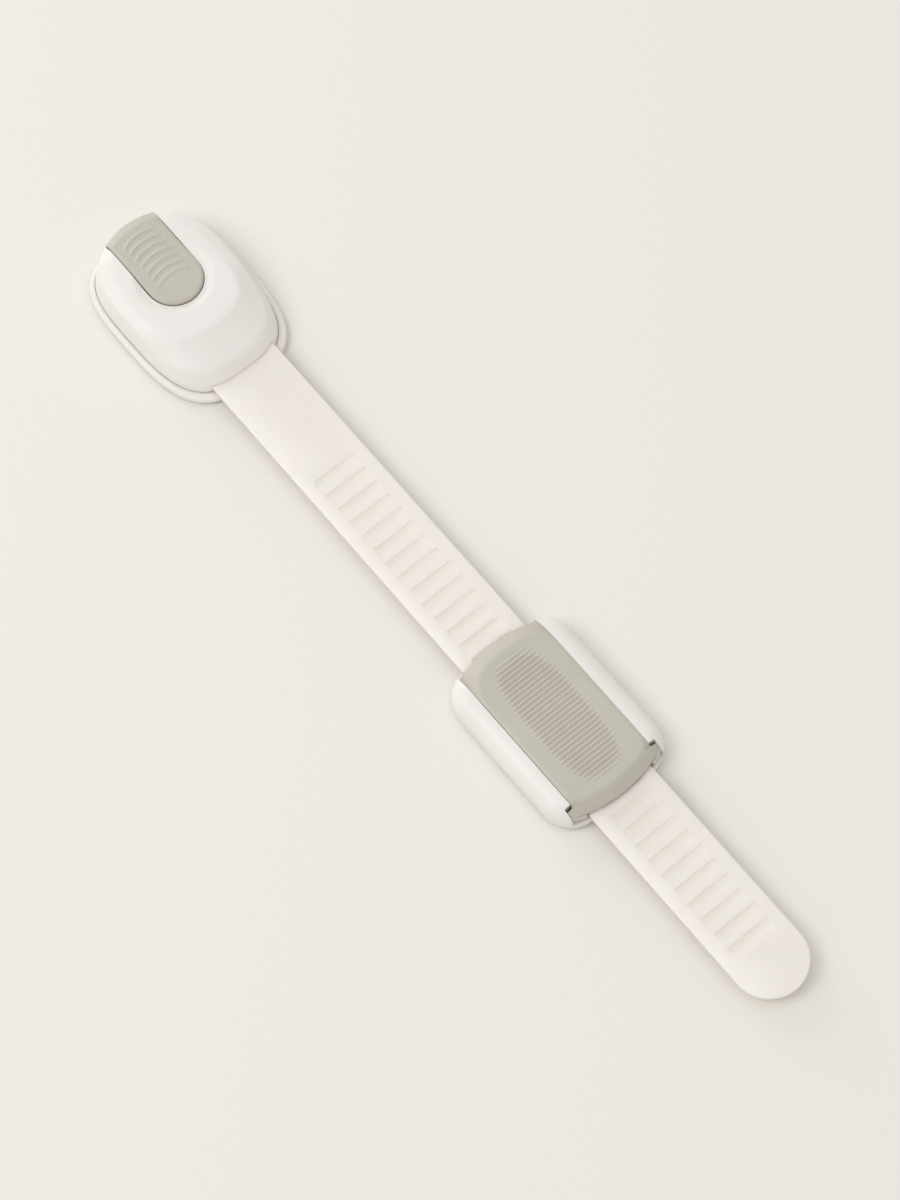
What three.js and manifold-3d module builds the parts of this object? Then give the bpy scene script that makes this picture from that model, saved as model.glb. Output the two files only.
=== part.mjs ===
// A stick-on strap lock for cupboards and appliances. The head lifts off its base plate when the grey slide
// in its top is pushed back. A toothed strap runs from the head through the adjuster, whose own grey slide
// drives a pawl into the strap's pockets and so sets the length.
// Millimetres. X runs along the strap from the head to the strap's tip, Z is up, and the origin is the middle
// of the head's adhesive face.
import * as THREE from "three";
import { mergeVertices } from "three/addons/utils/BufferGeometryUtils.js";
import Module from "manifold-3d";

const wasm = await Module();
wasm.setup();

// Clearances
const BOND = 0.05; // glue line between pieces that never part
const SEAT = 0.15; // between pieces that close on each other
const FIT = 0.3; // between pieces that slide past each other
const TURN = 0.08; // round a pin that turns
const RIM_GAP = 0.4; // the dark line between the shell and its base plate
const MERGE = 0.2; // how far joined forms reach into each other

// Adhesive pads
const PAD_THICK = 0.8;
const PAD_INSET = 1.6;

// Strap
const STRAP_WIDTH = 16.5;
const STRAP_THICK = 1.2;
const TOOTH_PITCH = 4;
const POCKET_COUNT = 34;
const POCKET_WIDTH = 10.6;
const POCKET_DEPTH = 0.7;
const POCKET_FLOOR = 1.25; // flat floor that a tooth of the pawl drops onto
const RAMP_DEPTH = 0.35; // low end of the ramp that rises to the next crest
const CREST_LENGTH = 0.25;
const FIRST_POCKET_X = 49.4;
const TIP_LENGTH = 14.9; // from the last pocket to the end of the tip
const STRAP_END_X = 5.2; // the end inside the head
const FLEX_START_X = 28;
const FLEX_LENGTH = 12;

// Head
const HEAD_LENGTH = 44.35;
const HEAD_MIDDLE = -0.575; // the base plate's middle, back from the pad's mark at zero
const HEAD_WIDTH = 32.4;
const HEAD_POWER = 3.2; // squareness of the oval outline
const WAIST_X = -3.5; // where the head is widest
const BASE_THICK = 1.25;
const BASE_EDGE = 0.4; // rounding of the base plate's rim
const SHELL_INSET = 1.4; // base plate's rim past the shell, at the sides
const SHELL_INSET_FRONT = 1.9;
const SHELL_INSET_BACK = 0.75;
const SHELL_HEIGHT = 7.3;
const SHELL_WALL = 1.3;
const SHELL_CEILING = 1.9; // from the hollow's top to the crown
const BEVEL_POWER = 2.95;
const CROWN_POWER = 2.75;
// How far the shell draws in from its rim at each level, and how high that level is above the rim
const RIM_BAND = { rise: 1.6, front: 0.25, side: 0.15, back: 0.1 };
const BEVEL_FOOT = { rise: 4.1, front: 2.7, side: 1, back: 0.6 };
const BEVEL_LIFT = 1.8; // the bevel's foot is this much higher at the sides and back
const BEVEL_LIFT_LENGTH = 11; // the foot climbs over this length
const BEVEL_LOW_X = 9; // and starts to climb here
// The same for the levels that are measured down from the crown
const CROWN_EDGE = { drop: 0.55, front: 9.6, side: 3.4, back: 2 };
const CROWN_SHOULDER = { drop: 0.2, front: 10.8, side: 4.2, back: 2.9 };
const CROWN_FLAT = { drop: 0, front: 14, side: 7.5, back: 6.5 };
const CHASSIS_THICK = 1.5;
const CHASSIS_GAP = 0.75; // all round, because the shell's wall leans in
const BED_THICK = 0.5; // chassis floor under the strap
const PEG_RADIUS = 1.5;
const PEG_X = 10;
const PEG_SPREAD = 8.8;
const PEG_RISE = 0.8; // pegs above the strap
const LOCATOR_RADIUS = 0.7;
const LOCATOR_FRONT_X = 8;
const LOCATOR_SHARE = 0.4; // of the way from the strap's edge to the chassis's side
const LOCATOR_BACK_X = -15.5;
const LOCATOR_BACK_INSET = 3.25; // from the chassis's side
const LOCATOR_RISE = 1.8;
const SCREW_HEAD_RADIUS = 1.4;
const SCREW_HEAD_HEIGHT = 0.6;
const SCREW_RADIUS = 0.8;
const SCREW_SLOT = 0.4;
const SCREW_X = 2;
const SCREW_INSET = 2.55; // from the chassis's side
const SCREW_REACH = 3.2; // thread in the boss
const BOSS_RADIUS = 1.9;

// Release slide
const GRIP_WIDTH = 12.8;
const GRIP_ROUND_X = -5.1; // centre of the round end
const GRIP_OVERHANG = 0.1; // the far edge past the shell's back
const GRIP_FAR_SAG = 1.3; // how far the far edge bows out
const GRIP_THICK = 2.05;
const GRIP_PROUD = 0.25; // above the shell's crown
const GRIP_ROUND_DOWN = 0.55; // rounding of the top edge
const GRIP_ROUND_IN = 0.9;
const GRIP_ROUND_FAR = 2; // the far edge rolls over further
const GRIP_WRAP = 1.5; // thickness of the far end that turns down
const GRIP_WRAP_DROP = 2.6;
const GRIP_WRAP_LEAN = 0.2;
const ARC_COUNT = 7;
const ARC_PITCH = 1.98;
const ARC_FIRST = 4; // first ridge from the far edge
const ARC_WIDTH = 8.5;
const ARC_RADIUS = 9;
const ARC_THICK = 0.6;
const ARC_HEIGHT = 0.25;
const DISH_WIDTH = 2.3;
const DISH_DEPTH = 0.9;
const FOOT_START_X = -12;
const FOOT_LENGTH = 8;
const FOOT_SPREAD = 16.2;
const FOOT_INNER = 9.2;
const FOOT_HEIGHT = 0.9;
const FOOT_DROP = 1.3; // from the grip's underside to the foot's underside
const LEG_BACK_X = -7.6;
const LEG_LENGTH = 2;
const LEG_WIDTH = 4.8;
const LEG_DROP = 2.9;

// Catch and return spring
const KEEPER_FRONT_X = 0.2;
const KEEPER_LENGTH = 2.8;
const KEEPER_STEM = 1.4;
const KEEPER_WIDTH = 6.8;
const KEEPER_HEAD = 0.75;
const KEEPER_LEAD = 0.35; // upright part of the keeper's nose, below its slope
const CATCH_THICK = 0.6;
const CATCH_WIDTH = 6;
const CATCH_STEP = 0.4; // the hook lies this much lower than the arm
const CATCH_BITE = 0.9; // hook under the keeper's head
const SPRING_TURNS = 6;
const SPRING_RADIUS = 1.4;
const SPRING_WIRE = 0.25;
const SPRING_DROP = 2; // spring axis below the grip's underside
const SPRING_WALL_INSET = 6.75; // from the head's back end
const SPRING_WALL = 1.4;
const SPRING_WALL_WIDTH = 6.4;
const LEDGE_THICK = 1.2;

// Adjuster
const ADJUSTER_X = 122.8;
const ADJUSTER_LENGTH = 41.2;
const ADJUSTER_WIDTH = 29.8;
const ADJUSTER_CORNER = 7.2;
const ADJUSTER_PLATE = 1;
const RAIL_HEIGHT = 4.05; // above the channel floor
const RAIL_END = 4.4; // rails stop short of the body's front by this much
const RAIL_ROUND_DOWN = 3.4; // rounding of the rails' outer edge
const RAIL_ROUND_IN = 4;
const GUIDE_BACK = 3; // guides start this far from the body's back
const GUIDE_THICK = 0.55;
const GUIDE_HEIGHT = 1.25;
const GROOVE_DEPTH = 0.9;
const GROOVE_BOTTOM = 1.55; // above the channel floor
const GROOVE_HEIGHT = 1.2;
const POST_LENGTH = 2.8;
const POST_INNER = 17.4;
const POST_CROWN = 0.25; // material over the pin
const PLATE_SCREW_INSET = 2.3; // from the plate's side

// Lock slide
const LOCK_WIDTH = 20.3;
const LIP_OVERHANG = 0.5; // past the body's back end
const LIP_SAG = 1.9;
const NOSE_SAG = 1.65;
const LOCK_HEIGHT = 2.7; // skirt's lower edge to the top
const LOCK_SKIN = 0.85;
const LOCK_SKIRT = 1.1;
const LIP_WALL = 1.4;
const NOSE_SOLID = 3.4;
const LOCK_ROUND_DOWN = 2.2; // rounding of the top edge
const LOCK_ROUND_SIDE = 1.1;
const LOCK_ROUND_LIP = 3.2;
const LOCK_ROUND_NOSE = 2.6;
const FURROW_COUNT = 32; // furrows leave the ribs of the grip between them
const FURROW_PITCH = 1;
const FURROW_FIRST = -15.6; // from the adjuster's middle
const FURROW_WIDTH = 0.9;
const FURROW_DEPTH = 0.35;
const FIELD_LENGTH = 33; // of the oval that the furrows fill
const FIELD_WIDTH = 12.2;
const FIELD_FADE = 1.9; // the furrows' ends rise to nothing over this length
const FIELD_POWER = 3;
const EAR_GAP = 0.8;
const EAR_SPREAD = 23.8;
const EAR_INNER = 17.6;
const EAR_INSET = 0.45; // from the body's outline
const EAR_HEIGHT = 2.9;
const EAR_ROUND = 0.9;
const TONGUE_START = -15.5; // from the adjuster's middle
const TONGUE_LENGTH = 13;
const LOCK_TRAVEL = 7;

// Locking pawl
const PAWL_PIVOT_INSET = 6.4; // from the body's front end
const PAWL_PIVOT_RISE = 1.2; // above the strap's top
const PAWL_HUB = 0.95;
const PAWL_PIN_RADIUS = 0.5;
const PAWL_REACH = 24; // pivot to about the first tooth
const PAWL_TOE = 0.6; // past the first tooth's pocket
const PAWL_WIDTH = 12.8;
const PAWL_THICK = 0.85;
const PAWL_LIFT = 2.15; // degrees, over the lock slide's whole travel
const TOOTH_COUNT = 3;
const TOOTH_LENGTH = 0.85;
const TOOTH_WIDTH = 9.2;
const TOOTH_BITE = 0.45;
const CAM_PEG = 19; // from the pivot
const CAM_PEG_RADIUS = 0.35;
const CAM_PEG_WIDTH = 15.4;
const CAM_INNER = 13.6;
const CAM_THICK = 1;
const CAM_MARGIN = 2;

// Heights that follow from the sizes above
const baseBottom = PAD_THICK + BOND;
const baseTop = baseBottom + BASE_THICK;
const chassisBottom = baseTop + SEAT;
const chassisTop = chassisBottom + CHASSIS_THICK;
const bedTop = chassisBottom + BED_THICK;
const strapBottom = bedTop + SEAT;
const strapTop = strapBottom + STRAP_THICK;
const rimZ = baseTop + RIM_GAP;
const crownZ = rimZ + SHELL_HEIGHT;
const gripTop = crownZ + GRIP_PROUD;
const gripBottom = gripTop - GRIP_THICK;
const legBottom = gripBottom - LEG_DROP;
const catchTop = legBottom - SEAT;
const footBottom = gripBottom - FOOT_DROP;
const springZ = gripBottom - SPRING_DROP;
const plateTop = baseBottom + ADJUSTER_PLATE;
const bodyBottom = plateTop + BOND;
const floorTop = strapBottom - SEAT;
const railTop = floorTop + RAIL_HEIGHT;
const lockBottom = strapTop + RIM_GAP;
const lockTop = lockBottom + LOCK_HEIGHT;
const lockCeiling = lockTop - LOCK_SKIN;
const pivotZ = strapTop + PAWL_PIVOT_RISE;
const postTop = pivotZ + PAWL_PIN_RADIUS + POST_CROWN;
const pawlBottom = strapTop + FIT;
const pegZ = pawlBottom + PAWL_THICK - CAM_PEG_RADIUS;

// Places that follow from the sizes above
const lastPocketX = FIRST_POCKET_X + (POCKET_COUNT - 1) * TOOTH_PITCH;
const tipX = lastPocketX + TIP_LENGTH;
const flexEndX = FLEX_START_X + FLEX_LENGTH;
const channelHalf = LOCK_WIDTH / 2 + FIT;
const adjusterFront = ADJUSTER_X + ADJUSTER_LENGTH / 2;
const adjusterBack = ADJUSTER_X - ADJUSTER_LENGTH / 2;
const railEndX = adjusterFront - RAIL_END;
const pivotX = adjusterFront - PAWL_PIVOT_INSET;
const pegX = pivotX - CAM_PEG;
const toothPocket = Math.round((pivotX - PAWL_REACH - FIRST_POCKET_X) / TOOTH_PITCH);
const firstToothX = FIRST_POCKET_X + toothPocket * TOOTH_PITCH;
const pawlEndX = firstToothX - PAWL_TOE;
const earSpace = EAR_SPREAD / 2 + FIT;
const plateScrewY = ADJUSTER_WIDTH / 2 - PLATE_SCREW_INSET;
const springWallX = HEAD_MIDDLE - HEAD_LENGTH / 2 + SPRING_WALL_INSET;
const gripFarX = HEAD_MIDDLE - HEAD_LENGTH / 2 + SHELL_INSET_BACK - GRIP_OVERHANG;
const chassisHalf = HEAD_WIDTH / 2 - SHELL_INSET - SHELL_WALL - CHASSIS_GAP;
const screwY = chassisHalf - SCREW_INSET;
const locatorBackY = chassisHalf - LOCATOR_BACK_INSET;
const locatorFrontY = STRAP_WIDTH / 2 + LOCATOR_SHARE * (chassisHalf - STRAP_WIDTH / 2);
const pawlLift = THREE.MathUtils.degToRad(PAWL_LIFT);

// A closed geometry as a solid that can be joined and cut.
function solid(geometry) {
  const bare = new THREE.BufferGeometry().setAttribute("position", geometry.getAttribute("position"));
  bare.setIndex(geometry.index);
  const merged = mergeVertices(bare);
  const vertProperties = merged.getAttribute("position").array;
  const triVerts = new Uint32Array(merged.index.array);
  return new wasm.Manifold(new wasm.Mesh({ numProp: 3, vertProperties, triVerts }));
}

// The solid as a geometry again.
function geometryOf(shape) {
  const mesh = shape.getMesh();
  const geometry = new THREE.BufferGeometry();
  geometry.setAttribute("position", new THREE.BufferAttribute(mesh.vertProperties, mesh.numProp));
  geometry.setIndex(new THREE.BufferAttribute(mesh.triVerts, 1));
  geometry.computeVertexNormals();
  return geometry;
}

function block(x0, x1, y0, y1, z0, z1) {
  const geometry = new THREE.BoxGeometry(x1 - x0, y1 - y0, z1 - z0);
  return solid(geometry.translate((x0 + x1) / 2, (y0 + y1) / 2, (z0 + z1) / 2));
}

// A block on one side of the middle plane, between an inner and an outer distance from it.
function sideBlock(side, x0, x1, inner, outer, z0, z1) {
  const [low, high] = side > 0 ? [inner, outer] : [-outer, -inner];
  return block(x0, x1, low, high, z0, z1);
}

function post(x, y, radius, z0, z1, sides = 20) {
  const geometry = new THREE.CylinderGeometry(radius, radius, z1 - z0, sides);
  return solid(geometry.rotateX(Math.PI / 2).translate(x, y, (z0 + z1) / 2));
}

function rodAlongY(x, z, radius, width, sides = 20) {
  return solid(new THREE.CylinderGeometry(radius, radius, width, sides).translate(x, 0, z));
}

// A side-view outline of [x, z] points, made as wide as the piece is and centred on Y = 0.
function sideForm(points, width) {
  const outline = new THREE.Shape(points.map(([x, z]) => new THREE.Vector2(x, z)));
  const geometry = new THREE.ExtrudeGeometry(outline, { depth: width, bevelEnabled: false });
  return solid(geometry.rotateX(Math.PI / 2).translate(0, width / 2, 0));
}

function planForm(outline, z0, z1, curveSegments = 12) {
  const geometry = new THREE.ExtrudeGeometry(outline, { depth: z1 - z0, bevelEnabled: false, curveSegments });
  return solid(geometry.translate(0, 0, z0));
}

// A closed form through outlines, each a list of [x, y] points at its own height, or lifted above it.
function stack(levels) {
  const count = levels[0].points.length;
  const position = levels.flatMap(({ z, points }) => points.flatMap(([x, y, lift = 0]) => [x, y, z + lift]));
  const index = [];
  for (let level = 0; level + 1 < levels.length; level++) {
    for (let i = 0; i < count; i++) {
      const a = level * count + i;
      const b = level * count + ((i + 1) % count);
      index.push(a, b, b + count, a, b + count, a + count);
    }
  }
  const top = (levels.length - 1) * count;
  for (let i = 1; i + 1 < count; i++) {
    index.push(0, i + 1, i);
    index.push(top, top + i, top + i + 1);
  }
  const geometry = new THREE.BufferGeometry();
  geometry.setAttribute("position", new THREE.Float32BufferAttribute(position, 3));
  geometry.setIndex(index);
  return solid(geometry);
}

// A prism between two heights, with the same outline at both.
function prism(points, z0, z1) {
  return stack([
    { z: z0, points },
    { z: z1, points },
  ]);
}

// A quarter-round edge, from an upright wall to a level top: the drop below the top at each step, and the
// share of the whole inset that the edge has drawn in by there.
function rounding(down, steps = 4) {
  return Array.from({ length: steps + 1 }, (_, i) => {
    const angle = (Math.PI / 2) * (i / steps);
    return { drop: down * (1 - Math.sin(angle)), share: 1 - Math.cos(angle) };
  });
}

// An egg-shaped outline between a back and a front X, widest at the waist.
function oval({ front, back, half, waist, power }, count = 48) {
  const points = [];
  for (let i = 0; i < count; i++) {
    const angle = (2 * Math.PI * i) / count;
    const along = Math.cos(angle);
    const across = Math.sin(angle);
    const reach = along > 0 ? front - waist : waist - back;
    const x = waist + reach * Math.sign(along) * Math.abs(along) ** (2 / power);
    points.push([x, half * Math.sign(across) * Math.abs(across) ** (2 / power)]);
  }
  return points;
}

function shrunk(outline, inset) {
  return {
    ...outline,
    front: outline.front - inset,
    back: outline.back + inset,
    half: outline.half - inset,
  };
}

const baseOutline = {
  front: HEAD_MIDDLE + HEAD_LENGTH / 2,
  back: HEAD_MIDDLE - HEAD_LENGTH / 2,
  half: HEAD_WIDTH / 2,
  waist: WAIST_X,
  power: HEAD_POWER,
};
const shellOutline = {
  ...baseOutline,
  front: baseOutline.front - SHELL_INSET_FRONT,
  back: baseOutline.back + SHELL_INSET_BACK,
  half: baseOutline.half - SHELL_INSET,
};

const SIDES = [1, -1];

// The four places of the posts that keep the head from sliding on its base plate.
const locators = SIDES.flatMap((side) => [
  [LOCATOR_FRONT_X, side * locatorFrontY],
  [LOCATOR_BACK_X, side * locatorBackY],
]);

function headPad() {
  return prism(oval(shrunk(baseOutline, PAD_INSET)), 0, PAD_THICK);
}

function headBasePlate() {
  let plate = stack([
    { z: baseBottom, points: oval(baseOutline) },
    { z: baseTop - BASE_EDGE, points: oval(baseOutline) },
    { z: baseTop, points: oval(shrunk(baseOutline, BASE_EDGE)) },
  ]);
  const back = KEEPER_FRONT_X - KEEPER_LENGTH;
  const stem = KEEPER_FRONT_X - KEEPER_STEM;
  const headBottom = catchTop - BOND;
  const headTop = headBottom + KEEPER_HEAD;
  plate = plate.add(
    sideForm(
      [
        [stem, baseTop - MERGE],
        [KEEPER_FRONT_X, baseTop - MERGE],
        [KEEPER_FRONT_X, headTop],
        [stem, headTop],
        [back, headBottom + KEEPER_LEAD],
        [back, headBottom],
        [stem, headBottom],
      ],
      KEEPER_WIDTH,
    ),
  );
  for (const [x, y] of locators) {
    plate = plate.add(post(x, y, LOCATOR_RADIUS, baseTop - MERGE, baseTop + LOCATOR_RISE));
  }
  return plate;
}

// The shell's outline at a height, drawn in from its rim by the amounts of a level.
function shellLevel(z, { front, side, back }, power, wall = 0) {
  const points = oval({
    front: shellOutline.front - front - wall,
    back: shellOutline.back + back + wall,
    half: shellOutline.half - side - wall,
    waist: WAIST_X,
    power,
  });
  return { z, points };
}

// A U-shaped outline: straight sides, a half-round end towards the strap and a bowed far end.
function gripOutline(inset, farInset) {
  const half = GRIP_WIDTH / 2 - inset;
  const steps = 12;
  const points = [];
  for (let i = 0; i <= steps; i++) {
    const angle = Math.PI * (i / steps - 1 / 2);
    points.push([GRIP_ROUND_X + half * Math.cos(angle), half * Math.sin(angle)]);
  }
  for (let i = 0; i <= steps; i++) {
    const y = half * (1 - (2 * i) / steps);
    points.push([gripFarX + farInset + GRIP_FAR_SAG * (y / half) ** 2, y]);
  }
  return points;
}

// The same outline, climbing from a low front to higher sides and a higher back.
function climbing({ z, points }) {
  const share = (x) => 1 - THREE.MathUtils.smoothstep(x, BEVEL_LOW_X - BEVEL_LIFT_LENGTH, BEVEL_LOW_X);
  return { z, points: points.map(([x, y]) => [x, y, BEVEL_LIFT * share(x)]) };
}

function headShell() {
  const rim = { front: 0, side: 0, back: 0 };
  const outer = stack([
    shellLevel(rimZ, rim, HEAD_POWER),
    shellLevel(rimZ + RIM_BAND.rise, RIM_BAND, HEAD_POWER),
    climbing(shellLevel(rimZ + BEVEL_FOOT.rise, BEVEL_FOOT, BEVEL_POWER)),
    ...[CROWN_EDGE, CROWN_SHOULDER, CROWN_FLAT].map((level) =>
      shellLevel(crownZ - level.drop, level, CROWN_POWER),
    ),
  ]);
  const hollow = stack([
    shellLevel(baseBottom, rim, HEAD_POWER, SHELL_WALL),
    shellLevel(rimZ + RIM_BAND.rise - MERGE, RIM_BAND, HEAD_POWER, SHELL_WALL),
    shellLevel(rimZ + BEVEL_FOOT.rise - MERGE, BEVEL_FOOT, BEVEL_POWER, SHELL_WALL),
    shellLevel(crownZ - SHELL_CEILING, CROWN_EDGE, CROWN_POWER, SHELL_WALL),
  ]);
  let shell = outer.subtract(hollow);
  for (const side of SIDES) {
    const y = side * screwY;
    const boss = post(SCREW_X, y, BOSS_RADIUS, chassisTop + SEAT, crownZ).intersect(outer);
    const pilot = post(SCREW_X, y, SCREW_RADIUS + TURN, chassisTop, chassisTop + SEAT + SCREW_REACH + FIT);
    shell = shell.add(boss).subtract(pilot);
  }
  const slotHalf = STRAP_WIDTH / 2 + FIT;
  const wrapHalf = GRIP_WIDTH / 2 + FIT;
  const wrapInner = gripFarX + GRIP_FAR_SAG + GRIP_WRAP + FIT;
  const wrapBottom = gripBottom - GRIP_WRAP_DROP - FIT;
  const dishTop = GRIP_WIDTH / 2 + FIT + DISH_WIDTH;
  const dish = new THREE.CylinderGeometry(dishTop, dishTop - DISH_WIDTH, DISH_DEPTH, 48);
  dish.rotateX(Math.PI / 2).translate(GRIP_ROUND_X, 0, crownZ - DISH_DEPTH / 2);
  return shell
    .subtract(block(PEG_X, HEAD_LENGTH, -slotHalf, slotHalf, baseBottom, strapTop + FIT))
    .subtract(prism(gripOutline(-FIT, -HEAD_LENGTH), gripBottom - FIT, gripTop))
    .subtract(block(-HEAD_LENGTH, wrapInner, -wrapHalf, wrapHalf, wrapBottom, gripTop))
    .subtract(solid(dish));
}

function headChassis() {
  let chassis = prism(oval(shrunk(shellOutline, SHELL_WALL + CHASSIS_GAP)), chassisBottom, chassisTop);
  const bedHalf = STRAP_WIDTH / 2 + FIT;
  const keeperHalf = KEEPER_WIDTH / 2 + FIT;
  const keeperBack = KEEPER_FRONT_X - KEEPER_LENGTH - FIT;
  chassis = chassis
    .subtract(block(STRAP_END_X - FIT, HEAD_LENGTH, -bedHalf, bedHalf, bedTop, crownZ))
    .subtract(block(keeperBack, KEEPER_FRONT_X + FIT, -keeperHalf, keeperHalf, baseBottom, crownZ));
  for (const [x, y] of locators) {
    chassis = chassis.subtract(post(x, y, LOCATOR_RADIUS + FIT, baseBottom, crownZ));
  }
  const wallBack = springWallX - SPRING_WALL;
  const wallHalf = SPRING_WALL_WIDTH / 2;
  const low = chassisTop - MERGE;
  chassis = chassis.add(block(wallBack, springWallX, -wallHalf, wallHalf, low, gripBottom - FIT));
  const seat = chassisBottom + SCREW_HEAD_HEIGHT + SEAT;
  const ledgeEnd = FOOT_START_X + FOOT_LENGTH;
  const ledge = FOOT_SPREAD / 2;
  for (const side of SIDES) {
    const y = side * screwY;
    chassis = chassis
      .add(post(PEG_X, (side * PEG_SPREAD) / 2, PEG_RADIUS, bedTop - MERGE, strapTop + PEG_RISE))
      .add(sideBlock(side, FOOT_START_X, ledgeEnd, ledge - LEDGE_THICK, ledge, low, footBottom - FIT))
      .subtract(post(SCREW_X, y, SCREW_HEAD_RADIUS + FIT, baseBottom, seat))
      .subtract(post(SCREW_X, y, SCREW_RADIUS + TURN, baseBottom, crownZ));
  }
  return chassis;
}

// A slotted screw that stands head down with its head's face at z.
function screw(x, y, z, shank) {
  const headTop = z + SCREW_HEAD_HEIGHT;
  const body = post(x, y, SCREW_HEAD_RADIUS, z, headTop).add(
    post(x, y, SCREW_RADIUS, headTop - MERGE, headTop + shank),
  );
  const slot = SCREW_SLOT / 2;
  const reach = SCREW_HEAD_RADIUS + MERGE;
  return body.subtract(block(x - slot, x + slot, y - reach, y + reach, z - MERGE, z + slot));
}

function releaseSlide() {
  let slide = stack([
    { z: gripBottom, points: gripOutline(0, 0) },
    ...rounding(GRIP_ROUND_DOWN, 3).map(({ drop, share }) => ({
      z: gripTop - drop,
      points: gripOutline(share * GRIP_ROUND_IN, share * GRIP_ROUND_FAR),
    })),
  ]);
  const wrap = stack([
    { z: gripBottom - GRIP_WRAP_DROP, points: gripOutline(0, GRIP_WRAP_LEAN) },
    { z: gripBottom + MERGE, points: gripOutline(0, 0) },
  ]);
  const wrapInner = gripFarX + GRIP_FAR_SAG + GRIP_WRAP;
  slide = slide.add(wrap.subtract(block(wrapInner, HEAD_LENGTH, -HEAD_WIDTH, HEAD_WIDTH, 0, gripTop)));
  const footEnd = FOOT_START_X + FOOT_LENGTH;
  const footTop = footBottom + FOOT_HEIGHT;
  const footInner = FOOT_INNER / 2;
  const webOuter = GRIP_WIDTH / 2 - FIT;
  const top = gripBottom + MERGE;
  for (const side of SIDES) {
    slide = slide
      .add(sideBlock(side, FOOT_START_X, footEnd, footInner, FOOT_SPREAD / 2, footBottom, footTop))
      .add(sideBlock(side, FOOT_START_X, footEnd, footInner, webOuter, footBottom, top));
  }
  const legHalf = LEG_WIDTH / 2;
  slide = slide.add(block(LEG_BACK_X, LEG_BACK_X + LEG_LENGTH, -legHalf, legHalf, legBottom, top));
  const sweep = Math.asin(ARC_WIDTH / 2 / ARC_RADIUS);
  for (let i = 0; i < ARC_COUNT; i++) {
    const centre = gripFarX + ARC_FIRST + i * ARC_PITCH + ARC_RADIUS;
    const ridge = new THREE.Shape();
    ridge.absarc(centre, 0, ARC_RADIUS, Math.PI - sweep, Math.PI + sweep, false);
    ridge.absarc(centre, 0, ARC_RADIUS - ARC_THICK, Math.PI + sweep, Math.PI - sweep, true);
    slide = slide.add(planForm(ridge, gripTop - MERGE, gripTop + ARC_HEIGHT, 6));
  }
  return slide;
}

function catchSpring() {
  const low = catchTop - CATCH_THICK;
  const hookTop = catchTop - CATCH_STEP;
  const hookLow = hookTop - CATCH_THICK;
  const keeperBack = KEEPER_FRONT_X - KEEPER_LENGTH;
  const tip = keeperBack + CATCH_BITE;
  const bend = LEG_BACK_X + LEG_LENGTH + CATCH_THICK;
  return sideForm(
    [
      [LEG_BACK_X, low],
      [bend, low],
      [bend + CATCH_THICK, hookLow],
      [keeperBack, hookLow],
      [tip, hookTop - SEAT],
      [tip, hookTop],
      [bend + 2 * CATCH_THICK, hookTop],
      [bend + CATCH_THICK, catchTop],
      [LEG_BACK_X, catchTop],
    ],
    CATCH_WIDTH,
  );
}

class Helix extends THREE.Curve {
  constructor(start, length, radius, turns, z) {
    super();
    Object.assign(this, { start, length, radius, turns, z });
  }

  getPoint(t, target = new THREE.Vector3()) {
    const angle = 2 * Math.PI * this.turns * t;
    const x = this.start + this.length * t;
    return target.set(x, this.radius * Math.cos(angle), this.z + this.radius * Math.sin(angle));
  }
}

// The least gap between neighbouring turns, measured between points of the wire's centre line.
function leastGap(curve, turns, wire) {
  const perTurn = 24;
  const points = curve.getPoints(perTurn * turns);
  let least = Infinity;
  points.forEach((a, i) => {
    points.slice(i + perTurn / 2).forEach((b) => {
      least = Math.min(least, a.distanceTo(b) - 2 * wire);
    });
  });
  return least;
}

function returnSpring() {
  const start = springWallX + SEAT + SPRING_WIRE;
  const length = LEG_BACK_X - SEAT - SPRING_WIRE - start;
  const curve = new Helix(start, length, SPRING_RADIUS, SPRING_TURNS, springZ);
  const section = new THREE.Shape();
  section.absarc(0, 0, SPRING_WIRE, 0, 2 * Math.PI);
  const geometry = new THREE.ExtrudeGeometry(section, {
    steps: SPRING_TURNS * 8,
    curveSegments: 5,
    extrudePath: curve,
  });
  const gap = leastGap(curve, SPRING_TURNS, SPRING_WIRE);
  console.log("return spring, least gap between turns:", gap.toFixed(2));
  return solid(geometry);
}

function strapRoot() {
  const half = STRAP_WIDTH / 2;
  let root = block(STRAP_END_X, FLEX_START_X - SEAT, -half, half, strapBottom, strapTop);
  for (const side of SIDES) {
    root = root.subtract(post(PEG_X, (side * PEG_SPREAD) / 2, PEG_RADIUS + FIT, baseBottom, crownZ));
  }
  return root;
}

function strapFlex() {
  const half = STRAP_WIDTH / 2;
  return block(FLEX_START_X + SEAT, flexEndX - SEAT, -half, half, strapBottom, strapTop);
}

function strapRack() {
  const half = STRAP_WIDTH / 2;
  const outline = new THREE.Shape();
  outline.moveTo(flexEndX + SEAT, -half);
  outline.lineTo(tipX - half, -half);
  outline.absarc(tipX - half, 0, half, -Math.PI / 2, Math.PI / 2, false);
  outline.lineTo(flexEndX + SEAT, half);
  const above = strapTop + MERGE;
  const comb = [];
  for (let i = 0; i < POCKET_COUNT; i++) {
    const x = FIRST_POCKET_X + i * TOOTH_PITCH;
    const crest = x + TOOTH_PITCH - CREST_LENGTH;
    comb.push(
      [x, above],
      [x, strapTop - POCKET_DEPTH],
      [x + POCKET_FLOOR, strapTop - POCKET_DEPTH],
      [x + POCKET_FLOOR, strapTop - RAMP_DEPTH],
      [crest, strapTop],
      [crest, above],
    );
  }
  comb.push([lastPocketX + TOOTH_PITCH, above + MERGE], [FIRST_POCKET_X - CREST_LENGTH, above + MERGE]);
  return planForm(outline, strapBottom, strapTop, 24).subtract(sideForm(comb, POCKET_WIDTH));
}

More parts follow.
